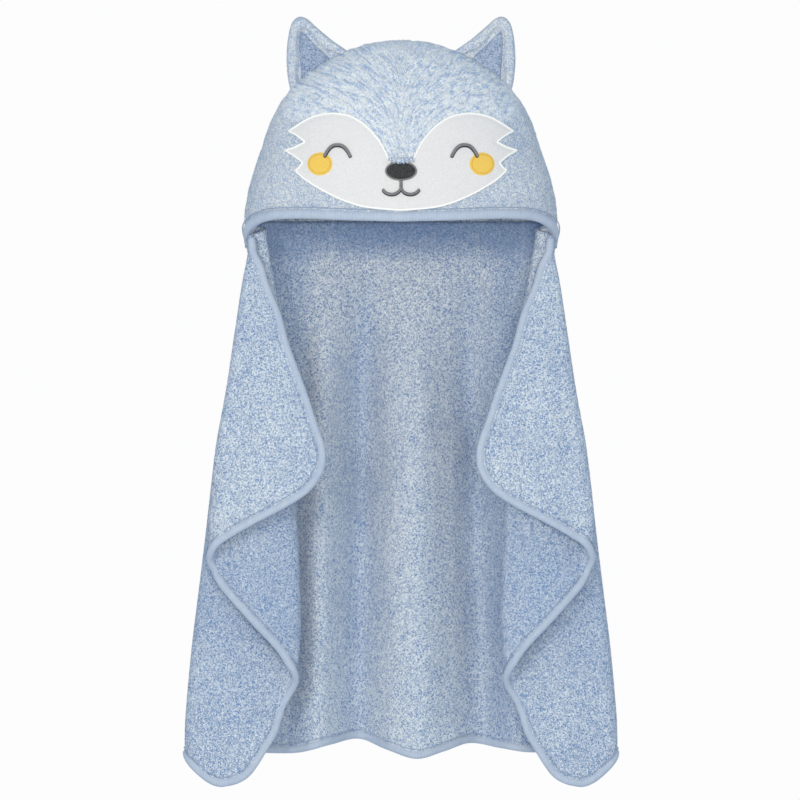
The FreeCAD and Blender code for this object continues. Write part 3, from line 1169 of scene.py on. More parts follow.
@dataclass
class Face:
    """The appliqué face on the hood's front: felt, satin stitch and fill stitch."""

    hood: Hood
    outer_top: list[Point] = field(
        default_factory=lambda: [(77.0, -86.3), (91.5, -87.6), (108.2, -93.0), (130.6, -107.0)]
    )
    tufts: list[Point] = field(
        default_factory=lambda: [(111.6, -119.8), (135.0, -129.3), (114.4, -143.8), (122.8, -152.8)]
    )
    chin: list[Point] = field(
        default_factory=lambda: [
            (122.8, -152.8), (108.2, -165.6), (81.4, -181.2), (56.9, -191.3), (35.6, -196.3), (0.0, -199.3)
        ]
    )
    brow: list[Point] = field(
        default_factory=lambda: [
            (77.0, -86.3), (58.0, -90.2), (41.2, -100.8), (26.7, -116.4), (18.9, -129.8), (13.0, -143.0)
        ]
    )
    nose: Oval = (0.0, -153.8, 17.4, 10.3)
    cheek: Oval = (93.8, -145.6, 14.5, 13.3)
    eye: Oval = (73.3, -137.7, 15.3, 14.2)
    tuft_bow: float = 1.2
    felt_cloth: float = 1.4
    cheek_stitch_inset: float = 2.4

    def half_outline(self) -> list[Vector]:
        """The right half of the felt, from the nose over the brow and the tufts to the chin.

        Returns:
            Its edge, with points a millimetre apart.
        """
        line = through(upright(reversed(self.brow)), 1.0)
        line += through(upright(self.outer_top), 1.0)[1:]
        corner = line[-1]
        for tip in upright(self.tufts):
            bow = Vector((0, 0, -self.tuft_bow if tip.x > corner.x else self.tuft_bow))
            line += through([corner, (corner + tip) / 2 + bow, tip], 1.0)[1:]
            corner = tip
        line += through(upright(self.chin), 1.0)[1:]
        return line

    def spans(self) -> list[tuple[float, float, float]]:
        """Rows of the right half of the felt.

        Returns:
            Each row's height, inner x and outer x, from the top.
        """
        outline = self.half_outline()
        peak = max(range(len(outline)), key=lambda i: outline[i].z)
        brow, outer = outline[: peak + 1], outline[peak:]
        rows = []
        for point in outer:
            inner = 0.0
            if point.z > brow[0].z:
                inner = next(
                    (
                        mixed(a.x, b.x, (point.z - a.z) / (b.z - a.z))
                        for a, b in zip(brow, brow[1:])
                        if a.z <= point.z <= b.z and b.z > a.z
                    ),
                    point.x,
                )
            elif point.z > brow[0].z - 8:
                inner = brow[0].x * (1 - (brow[0].z - point.z) / 8)
            rows.append((point.z, inner, point.x))
        return rows

    def edge_finder(self) -> kdtree.KDTree:
        """The right half's edge, ready to be searched for the point nearest a place.

        Returns:
            The balanced tree.
        """
        outline = self.half_outline()
        near = kdtree.KDTree(len(outline))
        for i, point in enumerate(outline):
            near.insert(point, i)
        near.balance()
        return near

    def clearance(self) -> Callable[[float, float], float]:
        """Measures how far a place is outside the felt.

        Returns:
            A function of x and z, whose result is negative inside the felt.
        """
        near = self.edge_finder()
        rows = sorted(self.spans())
        heights = [row[0] for row in rows]

        def outside(x: float, z: float) -> float:
            """How far outside the felt a place is."""
            away = near.find(Vector((abs(x), 0, z)))[2]
            at = min(bisect_left(heights, z), len(rows) - 1)
            within = heights[0] <= z <= heights[-1] and rows[at][1] <= abs(x) <= rows[at][2]
            return -away if within else away

        return outside

    def felt(self) -> bmesh.types.BMesh:
        """The felt, both halves as one, a little raised away from its stitched edge.

        Returns:
            The sheet in millimetres.
        """
        rows = self.spans()
        near = self.edge_finder()
        columns = 44

        def place(side: int, u: float, v: float) -> Vector:
            """The point of a side's half at shares across and down."""
            z, inner, outer = rows[round(v * (len(rows) - 1))]
            x = mixed(inner, outer, u)
            edge = near.find(Vector((x, 0, z)))[2]
            stand = 1.5 + 0.7 * ramp(edge, 0.0, 8.0) - 0.3 * math.exp(-((edge - 2.6) ** 2))
            stand += 0.35 * noise.noise(Vector((x * side, 0, z)) / 14.0)
            return self.hood.on_front(side * x, z, stand)

        halves = [mapped_grid(columns, len(rows) - 1, partial(place, s.value)) for s in Side]
        bm = merged(halves)
        bmesh.ops.remove_doubles(bm, verts=bm.verts, dist=0.05)
        outward(bm, Vector((0, -1, 0)))
        return bm

    def line_on_face(self, flat: list[Vector], stand: float, closed: bool = False) -> Route:
        """A route on the hood.

        Args:
            flat: its points in the front view.
            stand: how far off the hood's front it lies.
            closed: whether it returns to its first point.

        Returns:
            The route.
        """
        points = [self.hood.on_front(p.x, p.z, stand) for p in flat]
        normals = [self.hood.front_normal(p.x, p.z) for p in flat]
        return Route(points, normals, closed)

    def arc(self, x: float, z: float, radius: float, start: float, end: float) -> list[Vector]:
        """An arc in the front view.

        Args:
            x: its middle, across.
            z: its middle, upwards.
            radius: its radius.
            start: its first angle, in degrees from +x.
            end: its last angle.

        Returns:
            Its points.
        """
        steps = max(12, int(abs(end - start) / 5))
        out = []
        for i in range(steps + 1):
            a = math.radians(mixed(start, end, i / steps))
            out.append(Vector((x + radius * math.cos(a), 0, z + radius * math.sin(a))))
        return out

    def ring(self, oval: Oval, inset: float, end: float) -> list[Vector]:
        """A line round an oval in the front view, from +x.

        Args:
            oval: the oval.
            inset: how far inside its edge the line lies.
            end: the angle at which it stops, in degrees.

        Returns:
            Its points.
        """
        cx, cz, rx, rz = oval
        turn = self.arc(0.0, 0.0, 1.0, 0, end)
        return [Vector((cx + p.x * (rx - inset), 0, cz + p.z * (rz - inset))) for p in turn]

    def lens(self, oval: Oval, stand: float, height: float) -> bmesh.types.BMesh:
        """A low filled oval on the face.

        Args:
            oval: the oval.
            stand: how far its middle plane is off the hood's front.
            height: how far it rises from there.

        Returns:
            The closed mesh in millimetres.
        """
        cx, cz, rx, rz = oval
        bm = bmesh.new()
        bmesh.ops.create_uvsphere(bm, u_segments=56, v_segments=28, radius=1.0)
        for vert in bm.verts:
            x, z = cx + rx * vert.co.x, cz + rz * vert.co.y
            rise = height * signed_power(vert.co.z, 0.55)
            vert.co = self.hood.on_front(x, z, stand + rise)
        outward(bm)
        return bm

    def stitch_line(self, name: str, lines: list[list[Vector]], width: float, node: str) -> None:
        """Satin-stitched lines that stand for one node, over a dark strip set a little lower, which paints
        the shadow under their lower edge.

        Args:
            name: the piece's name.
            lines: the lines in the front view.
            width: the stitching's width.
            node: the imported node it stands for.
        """

        def sewn(drop: float, half: float, stand: float, around: int) -> bmesh.types.BMesh:
            """The lines moved down and swept to a half width, off the hood's front, as one mesh."""
            strip = Strip(inner=half, outer=-half, half_height=1.3, power=2.0)
            moved = [[p - Vector((0, 0, drop)) for p in line] for line in lines]
            routes = [self.line_on_face(spaced(line, 0.7), stand) for line in moved]
            return merged([route.swept(strip, around, 1.4) for route in routes])

        satin = sewn(0.0, width / 2, 3.6, 12)
        finish_piece(name, satin, GREY_THREAD, [node])
        # Painted shadow: a wider dark strip, 1 mm lower and nearer the hood, stands for the shade under
        # the satin's lower edge.
        shadow_strip = sewn(1.0, width / 2 + 0.25, 2.8, 8)
        finish_piece(f"{name}_underlay", shadow_strip, SHADOW_THREAD)

    def tufts_over_nose(self) -> bmesh.types.BMesh:
        """Short tufts of fur that hang over the top of the nose.

        Returns:
            The tufts as one mesh.
        """
        parts = []
        for i in range(21):
            x = -14.0 + 1.4 * i
            lean = 0.9 * math.sin(i * 2.3) - 0.05 * x
            reach = 1.6 + 0.9 * math.sin(i * 1.7) - 0.012 * x * x
            line = [Vector((x + lean * t, 0, -138.5 - (5.6 + reach) * t)) for t in (0.0, 0.5, 1.0)]
            strip = Strip(inner=1.25, outer=-1.25, half_height=1.3, power=2.0)
            route = self.line_on_face(through(line, 0.8), 4.4)
            parts.append(route.swept(strip, 8, 3.0))
        return merged(parts)

    def build_border(self) -> bpy.types.Object:
        """Makes the satin stitch round the felt.

        Returns:
            The border.
        """
        half = self.half_outline()
        left = [Vector((-p.x, 0, p.z)) for p in reversed(half)]
        loop = spaced([*half, *left[1:], half[0]], 1.0, closed=True)
        strip = Strip(inner=1.2, outer=-0.9, half_height=0.5, power=3.0)
        border = self.line_on_face(loop, 1.6, closed=True).swept(strip, 10)
        return finish_piece("face_border", border, WHITE_THREAD, ["face_patch_border"])

    def build_nose(self) -> None:
        """Makes the nose, its satin rim and the tufts over it."""
        fill = self.lens(self.nose, 2.4, 2.2)
        finish_piece("nose_fill", fill, CHARCOAL_FILL, ["nose"])
        ring = self.ring(self.nose, 0.0, 355)
        outline = self.line_on_face(spaced([*ring, ring[0]], 0.8, True), 3.0, True)
        strip = Strip(inner=1.1, outer=-1.1, half_height=1.4, power=2.0)
        finish_piece("nose_rim", outline.swept(strip, 10), GREY_THREAD, ["nose_outline"])
        finish_piece("nose_tufts", self.tufts_over_nose(), PLUSH)

    def build_mouth(self) -> None:
        """Makes the mouth: a stem below the nose and a hook on each side."""
        stem = upright([(0.0, -163.0), (0.0, -168.0), (0.0, -172.5)])
        hook = self.arc(10.9, 0.0, 10.6, 176, 345)
        hooks = [[Vector((p.x * s.value, 0, -172.2 + 0.8 * p.z)) for p in hook] for s in Side]
        self.stitch_line("mouth_stitch", [stem, *hooks], 3.1, "mouth")

    def build_eye(self, side: Side) -> None:
        """Makes one closed, smiling eye.

        Args:
            side: which eye.
        """
        ex, ez, half_width, height = self.eye
        shares = [i / 20 - 1 for i in range(41)]
        brow = [
            Vector((side.value * ex + half_width * t, 0, ez + height * (1 - abs(t) ** 2.5)))
            for t in shares
        ]
        self.stitch_line(f"{side.word}_eye_stitch", [brow], 3.6, f"{side.word}_eye")

    def build_cheek(self, side: Side) -> bpy.types.Object:
        """Makes one cheek and the stitches round it.

        Args:
            side: which cheek.

        Returns:
            The felt disc.
        """
        cx, cz, rx, rz = self.cheek
        oval = (cx * side.value, cz, rx, rz)
        disc = self.lens(oval, 2.2, 0.9)
        name = f"{side.word}_cheek"
        dot = finish_piece(f"{name}_disc", disc, YELLOW_FELT, [name])
        turn = self.ring(oval, self.cheek_stitch_inset, 359)
        thread = stitched(self.line_on_face(spaced(turn, 0.4), 3.1), 0.0, 0.0, CHEEK_STITCH)
        finish_piece(f"{name}_stitches", thread, YELLOW_THREAD)
        return dot

    def build(self) -> None:
        """Makes every piece of the face."""
        felt = finish_piece("face_felt", self.felt(), WHITE_FELT, ["face_patch"])
        thicken(felt, self.felt_cloth, -1)
        pieces = [self.build_border()]
        self.build_nose()
        self.build_mouth()
        for side in Side:
            self.build_eye(side)
            pieces.append(self.build_cheek(side))
        LOG.info("face: felt, border, nose, mouth, eyes and cheeks")


# ------------------------------------------------------------------ ears


@dataclass
class Ear:
    """One padded ear: front and back cloth over wadding, with a darker inner felt."""

    side: Side
    outline: list[Point] = field(
        default_factory=lambda: [
            (52.0, -24.0), (63.0, -12.5), (80.0, -0.5), (98.0, 14.5), (109.5, 24.6), (119.5, 27.2),
            (128.0, 18.5), (132.6, -3.0), (133.4, -30.0), (129.0, -58.0), (118.0, -68.0), (88.0, -52.0)
        ]
    )
    inner_outline: list[Point] = field(
        default_factory=lambda: [
            (116.8, 10.5), (118.2, 4.0), (118.6, -10.0), (117.2, -30.0), (113.5, -52.0),
            (95.0, -48.0), (73.0, -34.0), (79.0, -25.5), (98.0, -7.5), (113.0, 7.5)
        ]
    )
    middle: Point = (103.0, -20.0)
    seam_low: Point = (98.0, -36.0)
    seam_high: Point = (107.0, -20.0)
    felt_cloth: float = 1.4
    half_thickness: float = 9.0
    rim: float = 15.0
    hollow: float = 6.2

    @property
    def body(self) -> str:
        """The name of the ear's body."""
        return f"{self.side.word}_ear"

    def ring(self) -> list[Vector]:
        """The outline on the right side, finely sampled."""
        return through(upright(self.outline), 1.5, closed=True)

    def half(self, front: bool) -> bmesh.types.BMesh:
        """The front or back half of the ear, closed along the seam plane.

        Args:
            front: whether it is the front half.

        Returns:
            The closed mesh in millimetres.
        """
        ring = self.ring()
        centre = Vector((self.middle[0], 0, self.middle[1]))
        bm = bmesh.new()
        bmesh.ops.create_uvsphere(bm, u_segments=96, v_segments=48, radius=1.0)
        way = -1 if front else 1
        for vert in bm.verts:
            share = math.hypot(vert.co.x, vert.co.y)
            turn = (math.atan2(vert.co.y, vert.co.x) / (2 * math.pi)) % 1.0
            at = turn * len(ring)
            low = int(at) % len(ring)
            edge = ring[low].lerp(ring[(low + 1) % len(ring)], at - int(at))
            spread = min(1.0, share)
            point = centre + (edge - centre) * spread
            height = 0.0
            if vert.co.z * way > 0:
                height = self.depth(front, (edge - centre).length * (1 - spread))
                height += 0.5 * noise.noise(point / 7.0)
            vert.co = Vector((point.x * self.side.value, way * height, point.z))
        outward(bm)
        return bm

    def depth(self, front: bool, edge: float) -> float:
        """How thick a half is.

        Args:
            front: whether it is the front half, which is sunk inside its rolled rim.
            edge: the distance from the half's edge.

        Returns:
            The thickness there.
        """
        roll = self.half_thickness * math.sqrt(max(0.0, 1 - (1 - min(1.0, edge / 4.0)) ** 2))
        if not front:
            return roll * (0.82 + 0.18 * ramp(edge, 4, 20))
        return roll - self.hollow * ramp(edge, self.rim * 0.72, self.rim * 1.08)

    def inner(self) -> bmesh.types.BMesh:
        """The felt triangle inside the front's rolled rim.

        Returns:
            The sheet in millimetres.
        """
        ring = through(upright(self.inner_outline), 1.5, closed=True)
        centre = Vector((self.middle[0] + 2, 0, self.middle[1]))

        def spot(u: float, v: float) -> Vector:
            """The felt's point at shares round it and out from its middle."""
            edge = ring[round(u * len(ring)) % len(ring)]
            point = centre + (edge - centre) * v
            near = (edge - centre).length * (1 - v)
            y = -(self.half_thickness - self.hollow) - 1.6 * ramp(near, 0.0, 3.0) - 0.2
            return Vector((point.x * self.side.value, y + 0.4 * noise.noise(point / 6.0), point.z))

        bm = mapped_grid(len(ring), 12, spot)
        outward(bm, Vector((0, -1, 0)))
        return bm

    def wadding(self) -> bmesh.types.BMesh:
        """The filling, a slightly smaller pad.

        Returns:
            The closed mesh in millimetres.
        """
        low, high = node_box(f"{self.side.word}_ear_wadding")
        bm = bmesh.new()
        bmesh.ops.create_uvsphere(bm, u_segments=32, v_segments=16, radius=1.0)
        centre = (low + high) / 2
        half = (high - low) / 2
        for vert in bm.verts:
            squeeze = 1 - 0.35 * (vert.co.z * 0.5 + 0.5)
            vert.co = centre + Vector(
                (vert.co.x * half.x * 0.62 * squeeze, vert.co.y * 3.0, vert.co.z * half.z * 0.6)
            )
        outward(bm)
        return bm

    def build(self) -> None:
        """Makes the ear's pieces."""
        word = self.side.word
        made = []
        for front in (True, False):
            part = "front" if front else "back"
            piece = finish_piece(
                f"{word}_ear_{part}_cloth", self.half(front), FUR, [f"{word}_ear_{part}"], ""
            )
            made.append(piece)
        felt = finish_piece(
            f"{word}_ear_felt", self.inner(), EAR_PLUSH, [f"{word}_ear_inner"], ""
        )
        thicken(felt, self.felt_cloth, -1)
        made.append(felt)
        fill = finish_piece(
            f"{word}_ear_fill", self.wadding(), WADDING, [f"{word}_ear_wadding"], ""
        )
        made.append(fill)
        for piece in made:
            self.body
            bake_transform(piece)
        LOG.info("%s ear: cloth, felt and wadding", word)


# ------------------------------------------------------------------ towel cloth


class Layer(Enum):
    """The cloth's layers on one side, from the back to the front."""

    BACK = 0
    REAR = 1
    MIDDLE = 2
    FRONT = 3


@dataclass(frozen=True)
class Spread:
    """The cloth's path round one side at one height."""

    reach: float
    depth: float
    radius: float
    fold: float
    inset: float
    back: tuple[float, ...]

    @property
    def flat(self) -> float:
        """The length of the rear layer between its folds."""
        return self.reach - self.radius - self.fold

    @property
    def front_flat(self) -> float:
        """The length of the middle layer between its folds."""
        return self.flat - self.inset

    def start(self, layer: Layer) -> float:
        """How far along the path a layer starts.

        Args:
            layer: the layer.

        Returns:
            The length from the middle of the back.
        """
        if layer is Layer.BACK:
            return 0.0
        start = self.back[-1] + math.pi * self.radius / 2
        if layer in (Layer.MIDDLE, Layer.FRONT):
            start += self.flat + math.pi * self.radius
        if layer is Layer.FRONT:
            start += self.front_flat + math.pi * self.radius
        return start

    def length_at(self, layer: Layer, x: float) -> float:
        """How far along the path a layer reaches a distance from the middle.

        Args:
            layer: the layer.
            x: the distance from the middle, across.

        Returns:
            The length from the middle of the back.
        """
        turn = self.reach - self.radius
        if layer in (Layer.MIDDLE, Layer.FRONT):
            turn -= self.inset
        past = max(0.0, x - turn)
        bend = self.radius * math.asin(min(1.0, past / self.radius))
        if layer is Layer.MIDDLE:
            return self.start(layer) + min(x, turn) - self.fold + bend
        return self.start(layer) + turn - min(x, turn) - bend

    def at(self, s: float) -> tuple[float, float, float]:
        """A point of the path.

        Args:
            s: the length from the middle of the back.

        Returns:
            The point across and back, and its share of a front layer's width.
        """
        r = self.radius
        turn = self.reach - r
        if s < self.back[-1]:
            count = len(self.back) - 1
            i = max(1, next(k for k in range(1, count + 1) if self.back[k] >= s))
            share = (i - 1 + (s - self.back[i - 1]) / (self.back[i] - self.back[i - 1])) / count
            angle = share * math.pi / 2
            return self.reach * math.sin(angle), self.depth * math.cos(angle), 0.0
        s -= self.back[-1]
        quarter = math.pi * r / 2
        if s < quarter:
            a = s / r
            return turn + r * math.cos(a), -r * math.sin(a), 0.0
        s -= quarter
        if s < self.flat:
            return turn - s, -r, s / self.flat
        s -= self.flat
        if s < 2 * quarter:
            a = s / r
            return self.fold - r * math.sin(a), -2 * r + r * math.cos(a), 1.0
        s -= 2 * quarter
        if s < self.front_flat:
            return self.fold + s, -3 * r, 1 - s / self.front_flat
        s -= self.front_flat
        turn -= self.inset
        if s < 2 * quarter:
            a = s / r
            return turn + r * math.sin(a), -4 * r + r * math.cos(a), 0.0
        s -= 2 * quarter
        return turn - s, -5 * r, s / self.front_flat


@dataclass(eq=False)
class Towel:
    """The body cloth: a back panel whose sides are folded forward in two pleats."""

    top: float = 212.0
    tip: float = 871.0
    hem_reach: float = 255.0
    cloth: float = 4.0
    band: Strip = Strip(inner=9.0, outer=-0.9, half_height=4.2, power=2.1, taper=0.35)
    stitch_inset: float = 9.9
    stitch_lift: float = 2.7
    width: Curve = field(
        default_factory=lambda: Curve(
            [(211, 181), (240, 178), (287, 186), (347, 195), (407, 204), (474, 216), (539, 224)]
            + [(591, 230), (652, 237.5), (704, 244), (767, 250), (805, 252.5), (872, 252.5)]
        )
    )
    pleat: Curve = field(
        default_factory=lambda: Curve(
            [(211, 160), (235, 157.5), (310, 144), (362, 132), (450, 127), (538, 124), (620, 120)]
            + [(690, 118.5), (745, 123), (790, 124), (872, 124)]
        )
    )
    edge: list[tuple[Layer, float, float]] = field(
        default_factory=lambda: [
            (Layer.FRONT, 173.0, 228.0), (Layer.FRONT, 169.0, 246.0), (Layer.FRONT, 160.0, 266.0),
            (Layer.FRONT, 151.0, 294.0), (Layer.FRONT, 129.0, 361.0), (Layer.FRONT, 101.0, 440.0),
            (Layer.FRONT, 90.5, 470.0), (Layer.FRONT, 88.5, 491.0), (Layer.FRONT, 94.0, 509.0),
            (Layer.FRONT, 109.0, 528.0), (Layer.FRONT, 135.0, 545.0), (Layer.FRONT, 169.0, 563.0),
            (Layer.FRONT, 198.0, 579.5), (Layer.FRONT, 214.0, 591.0), (Layer.MIDDLE, 222.0, 615.0),
            (Layer.MIDDLE, 215.0, 632.0), (Layer.MIDDLE, 203.0, 648.0), (Layer.MIDDLE, 171.0, 684.0),
            (Layer.MIDDLE, 145.0, 712.0), (Layer.MIDDLE, 133.0, 730.0), (Layer.REAR, 130.0, 768.0),
            (Layer.REAR, 144.0, 806.0), (Layer.REAR, 157.0, 829.0), (Layer.REAR, 175.0, 856.0),
            (Layer.REAR, 191.0, 867.0), (Layer.REAR, 209.0, 871.0),
        ]
    )
    hem: Curve = field(
        default_factory=lambda: Curve(
            [(-255, 836), (-200, 830), (-150, 832), (-118, 831), (-82, 822), (-49, 815.5), (-16, 828)]
            + [(18, 838.5), (50, 830), (80, 820.5), (115, 826), (150, 831), (200, 830), (255, 836)]
        )
    )
    swell: Curve = field(
        default_factory=lambda: Curve(
            [(-255, 0.0), (-180, -0.2), (-130, 0.1), (-96, 0.7), (-50, -1.0), (-8, 0.5), (24, 0.9)]
            + [(58, 0.1), (95, -1.0), (135, 0.1), (180, -0.2), (255, 0.0)]
        )
    )
    rows: int = 170
    columns: int = 130

    @lru_cache(maxsize=None)
    def _spread(self, tenth: int) -> Spread:
        """The path at a height, worked out once.

        Args:
            tenth: how far below the crown, in tenths of a millimetre.

        Returns:
            The path.
        """
        drop = tenth / 10
        reach = self.width(drop) - self.cloth / 2
        depth = mixed(70.0, 58.0, ramp(drop, 211, 830)) - self.cloth / 2
        depth -= 4.5 * ramp(240 - drop, 0, 28)
        radius = 5.5 + 5.5 * ramp(drop, 225, 420) + 2.5 * ramp(drop, 520, 860)
        fold = self.pleat(drop) + radius
        back = [0.0]
        count = 40
        for i in range(count):
            a, b = (k / count * math.pi / 2 for k in (i, i + 1))
            step = math.hypot(
                reach * (math.sin(b) - math.sin(a)), depth * (math.cos(b) - math.cos(a))
            )
            back.append(back[-1] + step)
        inset = 7.0 * math.exp(-(((drop - 603) / 30) ** 2))
        return Spread(reach, depth, radius, fold, inset, tuple(back))

    def spread(self, drop: float) -> Spread:
        """The cloth's path at a height."""
        return self._spread(round(drop * 10))

    def fold_x(self, x: float, drop: float) -> float:
        """Where along the hem the long fold through a place of the back ends up."""
        return x * mixed(1.0, self.hem_reach / self.width(drop), 0.5)

    def flat_point(self, side: int, s: float, drop: float) -> Vector:
        """A point midway through the cloth.

        Args:
            side: -1 for the left side, 1 for the right.
            s: the length round that side, from the middle of the back.
            drop: how far below the crown.

        Returns:
            The point in millimetres.
        """
        spread = self.spread(drop)
        x, y, share = spread.at(s)
        low = ramp(drop, 240, 560)
        if s < spread.back[-1]:
            wide = self.fold_x(x * side, drop)
            drift = 5.0 * noise.noise(Vector((0.0, 3.0, drop / 160)))
            depth = 2.0 + 27.0 * ramp(drop, 215, 480)
            y -= depth * (self.swell(wide + drift) + 0.42) * ramp(spread.back[-1] - s, 0, 70)
        elif s > spread.start(Layer.FRONT):
            y -= 9.0 * low * ramp(share, 0.0, 0.5)
        else:
            y -= 7.0 * low * math.sin(math.pi * share)
        wobble = noise.noise(Vector((x * side / 46, y / 80, drop / 75)))
        y -= 1.6 * wobble * low
        return Vector((x * side, y, -drop))

    def normal(self, side: int, s: float, drop: float) -> Vector:
        """The cloth's level normal, on the side that faces away from the middle back.

        Args:
            side: -1 for the left side, 1 for the right.
            s: the length round that side, from the middle of the back.
            drop: how far below the crown.

        Returns:
            The direction.
        """
        a, b = (self.flat_point(side, max(0.0, s + k), drop) for k in (-1.0, 1.0))
        ahead = (b - a).normalized()
        return Vector((ahead.y, -ahead.x, 0)).normalized() * -side

    @lru_cache(maxsize=None)
    def free_edge(self) -> list[Vector]:
        """The free edge of one side.

        Returns:
            Its points as (length round, 0, drop), a millimetre apart.
        """
        marks = [
            Vector((self.spread(drop).length_at(layer, x), 0, drop)) for layer, x, drop in self.edge
        ]
        return spaced(through(marks, 1.0), 1.0)

    def hollow(self, place: Vector) -> float:
        """How much painted shade the pile gets: in the back's valleys, beside the flaps, under the hood's
        rim and on the lower front layers under the layer above, and a little on the rest of the front
        layers, which lets the plush be lighter on the dimly lit inside of the back.

        Args:
            place: a point of the cloth.

        Returns:
            From 0 for no painted shade to 1.6.
        """
        wide, drop = abs(place.x), -place.z
        radius = self.spread(max(self.top, drop)).radius
        # Painted shade on the back: darker in its valleys, beside the flaps and under the hood's rim.
        if place.y > 1.2 * radius - 12:
            valley = max(0.0, -self.swell(self.fold_x(place.x, drop)))
            beside = ramp(wide, 92, 122)
            under = 1.6 - 1.6 * ramp(drop, 224, 268)
            return min(1.6, 0.55 * valley * ramp(drop, 230, 330) + 0.75 * beside + under)
        # Painted shade on the lower front layers, under the layers above them, fading towards the hem.
        if place.y > -4.4 * radius and drop > 520:
            return 0.8 - 0.35 * ramp(drop, 640, 800)
        # A little painted shade on the rest of the front layers.
        return 0.25

    def low_edge(self, side: int, s: float, corner: float) -> float:
        """The drop of the hem.

        Args:
            side: -1 for the left side, 1 for the right.
            s: the length round that side, from the middle of the back.
            corner: the length at which the flap's corner is.

        Returns:
            How far below the crown the hem is there.
        """
        spread = self.spread(833.0)
        around = spread.back[-1]
        if s <= around:
            x = spread.at(s)[0]
            return self.hem(x * side)
        share = (s - around) / (corner - around)
        outer = self.hem(self.hem_reach * side)
        return mixed(outer, self.tip, math.sin(share * math.pi / 2) ** 1.1)

    def place(self, u: float, v: float) -> Vector:
        """A point of the cloth.

        Args:
            u: the share across, from the left free edge to the right one.
            v: the share down, from the neck to the hem.

        Returns:
            The point in millimetres.
        """
        side = 1 if u >= 0.5 else -1
        a = abs(2 * u - 1)
        edge = self.free_edge()
        at = v * (len(edge) - 1)
        i = min(int(at), len(edge) - 2)
        free = edge[i].lerp(edge[i + 1], at - i)
        corner = edge[-1]
        start = edge[0]
        left = mixed(self.top, self.low_edge(side, 0.0, corner.x), v)
        s = a * free.x
        drop = (1 - a) * left + a * free.z
        upper = mixed(self.top, start.z, a)
        drop += (1 - v) * (mixed(self.top, start.z, ramp(a, 0.75, 1.0)) - upper)
        straight = mixed(self.low_edge(side, 0.0, corner.x), corner.z, a)
        drop += v * (self.low_edge(side, a * corner.x, corner.x) - straight)
        return self.flat_point(side, s, drop)

    def edge_route(self, step: float) -> Route:
        """The bound edge from the right neck round the hem to the left neck.

        Args:
            step: about how far apart its points are.

        Returns:
            The route along the edge.
        """
        points, normals = [], []
        for side in (1, -1):
            corner = self.free_edge()[-1].x
            marks = [(p.x, p.z) for p in self.free_edge()]
            count = int(corner)
            bottom = [corner * (1 - i / count) for i in range(1, count + 1)]
            marks += [(s, self.low_edge(side, s, corner)) for s in bottom]
            line = [self.flat_point(side, s, drop) for s, drop in marks]
            facing = [self.normal(side, s, drop) for s, drop in marks]
            if side < 0:
                line.reverse()
                facing.reverse()
            points += line
            normals += facing
        return Route(*even(points, normals, step))

    def build(self) -> None:
        """Makes the cloth, its binding and the binding's stitches."""
        bm = mapped_grid(2 * self.columns, self.rows, self.place)
        outward(bm)
        # The painted shade at each point, which the plush's finish reads.
        layer = bm.verts.layers.float.new("hollow")
        for vert in bm.verts:
            vert[layer] = self.hollow(vert.co)
        cloth = finish_piece("towel_cloth", bm, PLUSH, ["towel_body"])
        thicken(cloth, self.cloth, 0)
        route = self.edge_route(2.6)
        edge = self.free_edge()
        probe = edge[len(edge) // 5]
        route.turn_towards(self.flat_point(1, probe.x - 6, probe.z))
        binding = finish_piece(
            "towel_binding", route.swept(self.band, 16, 3.0), BINDING, ["edge_binding"]
        )
        fine = Route(*even(route.points, route.normals, 0.6), flip=route.flip)
        threads = [
            stitched(fine, self.stitch_inset, lift, BINDING_STITCH)
            for lift in (self.stitch_lift, -self.stitch_lift)
        ]
        sewn = finish_piece("towel_binding_stitches", merged(threads), BLUE_THREAD)


# ------------------------------------------------------------------ stage


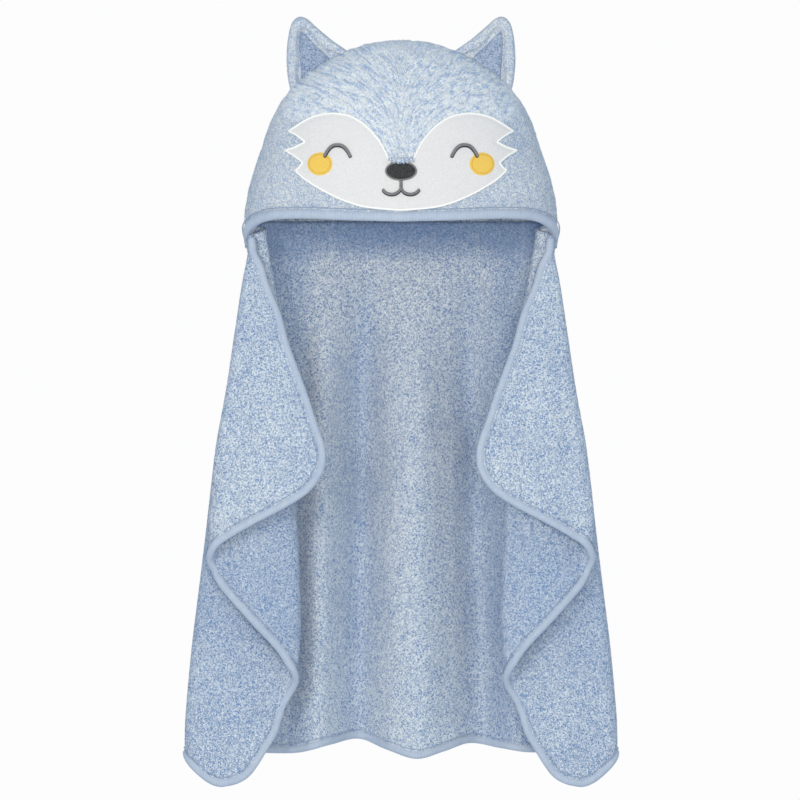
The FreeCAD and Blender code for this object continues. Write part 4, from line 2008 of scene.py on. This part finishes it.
@dataclass
class Studio:
    """The pale room, its soft light and the camera, in metres."""

    distance: float = 36.0
    picture_width: float = 0.9339
    height: float = -0.4202
    sideways: float = -0.0012
    room_size: float = 60.0
    floor_height: float = -1.1
    wall_distance: float = 45.0
    room_colour: Colour = (0.98, 0.98, 0.985, 1.0)
    lamp_colour: tuple[float, float, float] = (1.0, 0.925, 0.81)
    sky_colour: Colour = (0.74, 0.88, 1.0, 1.0)
    sky_strength: float = 0.64

    def room(self) -> None:
        """A white floor below the towel and a white wall behind it."""
        white = bpy.data.materials.new("pale_room")
        white.use_nodes = True
        tree = white.node_tree
        tree.nodes.clear()
        glow = tree.nodes.new("ShaderNodeEmission")
        glow.inputs["Color"].default_value = self.room_colour
        out = tree.nodes.new("ShaderNodeOutputMaterial")
        tree.links.new(glow.outputs[0], out.inputs["Surface"])
        bm = bmesh.new()
        bmesh.ops.create_grid(bm, x_segments=1, y_segments=1, size=self.room_size)
        for vert in bm.verts:
            vert.co = (vert.co.x, min(vert.co.y, self.wall_distance), self.floor_height)
        rim = [e for e in bm.edges if all(v.co.y > 0 for v in e.verts)]
        raised = bmesh.ops.extrude_edge_only(bm, edges=rim)["geom"]
        corners = [g for g in raised if isinstance(g, bmesh.types.BMVert)]
        bmesh.ops.translate(bm, vec=(0, 0, self.room_size), verts=corners)
        mesh = bpy.data.meshes.new("room")
        bm.to_mesh(mesh)
        bm.free()
        mesh.materials.append(white)
        room = bpy.data.objects.new("room", mesh)
        bpy.context.scene.collection.objects.link(room)
        room.visible_diffuse = False

    def lamp(self, name: str, spot: Place, aim: Place, size: float, power: float) -> None:
        """A soft square lamp that looks at a point, with lengths in metres.

        Args:
            name: the lamp's name.
            spot: where it is.
            aim: the point it looks at.
            size: the length of its sides.
            power: in watts.
        """
        data = bpy.data.lights.new(name, "AREA")
        data.color = self.lamp_colour
        data.size = size
        data.energy = power
        lamp = bpy.data.objects.new(name, data)
        lamp.location = spot
        lamp.rotation_euler = (Vector(aim) - Vector(spot)).to_track_quat("-Z", "Y").to_euler()
        bpy.context.scene.collection.objects.link(lamp)

    def build(self) -> None:
        """Sets the room, lamps, world and camera."""
        scene = bpy.context.scene
        self.room()
        self.lamp("key", (-1.1, -2.7, 0.3), (0, 0, -0.36), 0.6, 22.0)
        self.lamp("fill", (0.3, -3.1, -0.5), (0, 0, -0.42), 1.0, 33.0)
        self.lamp("behind", (0.6, 3.0, 0.9), (0, 0, -0.4), 1.6, 26.0)
        world = bpy.data.worlds.new("soft_sky")
        world.use_nodes = True
        sky = world.node_tree.nodes["Background"].inputs
        sky["Color"].default_value = self.sky_colour
        sky["Strength"].default_value = self.sky_strength
        scene.world = world
        scene.view_settings.view_transform = "Standard"
        data = bpy.data.cameras.new("camera")
        data.sensor_width = 36.0
        data.lens = data.sensor_width * self.distance / self.picture_width
        camera = bpy.data.objects.new("camera", data)
        camera.location = (self.sideways, -self.distance, self.height)
        camera.rotation_euler = (math.pi / 2, 0, 0)
        scene.collection.objects.link(camera)
        scene.camera = camera


def main() -> None:
    """Builds the towel piece by piece, then the stage."""
    logging.basicConfig(level=logging.INFO, format="%(name)s: %(message)s")
    Studio().build()
    hood = Hood()
    face = Face(hood)
    hood.build(face.clearance())
    face.build()
    for side in Side:
        Ear(side).build()
    Towel().build()


if __name__ == "__main__":
    main()
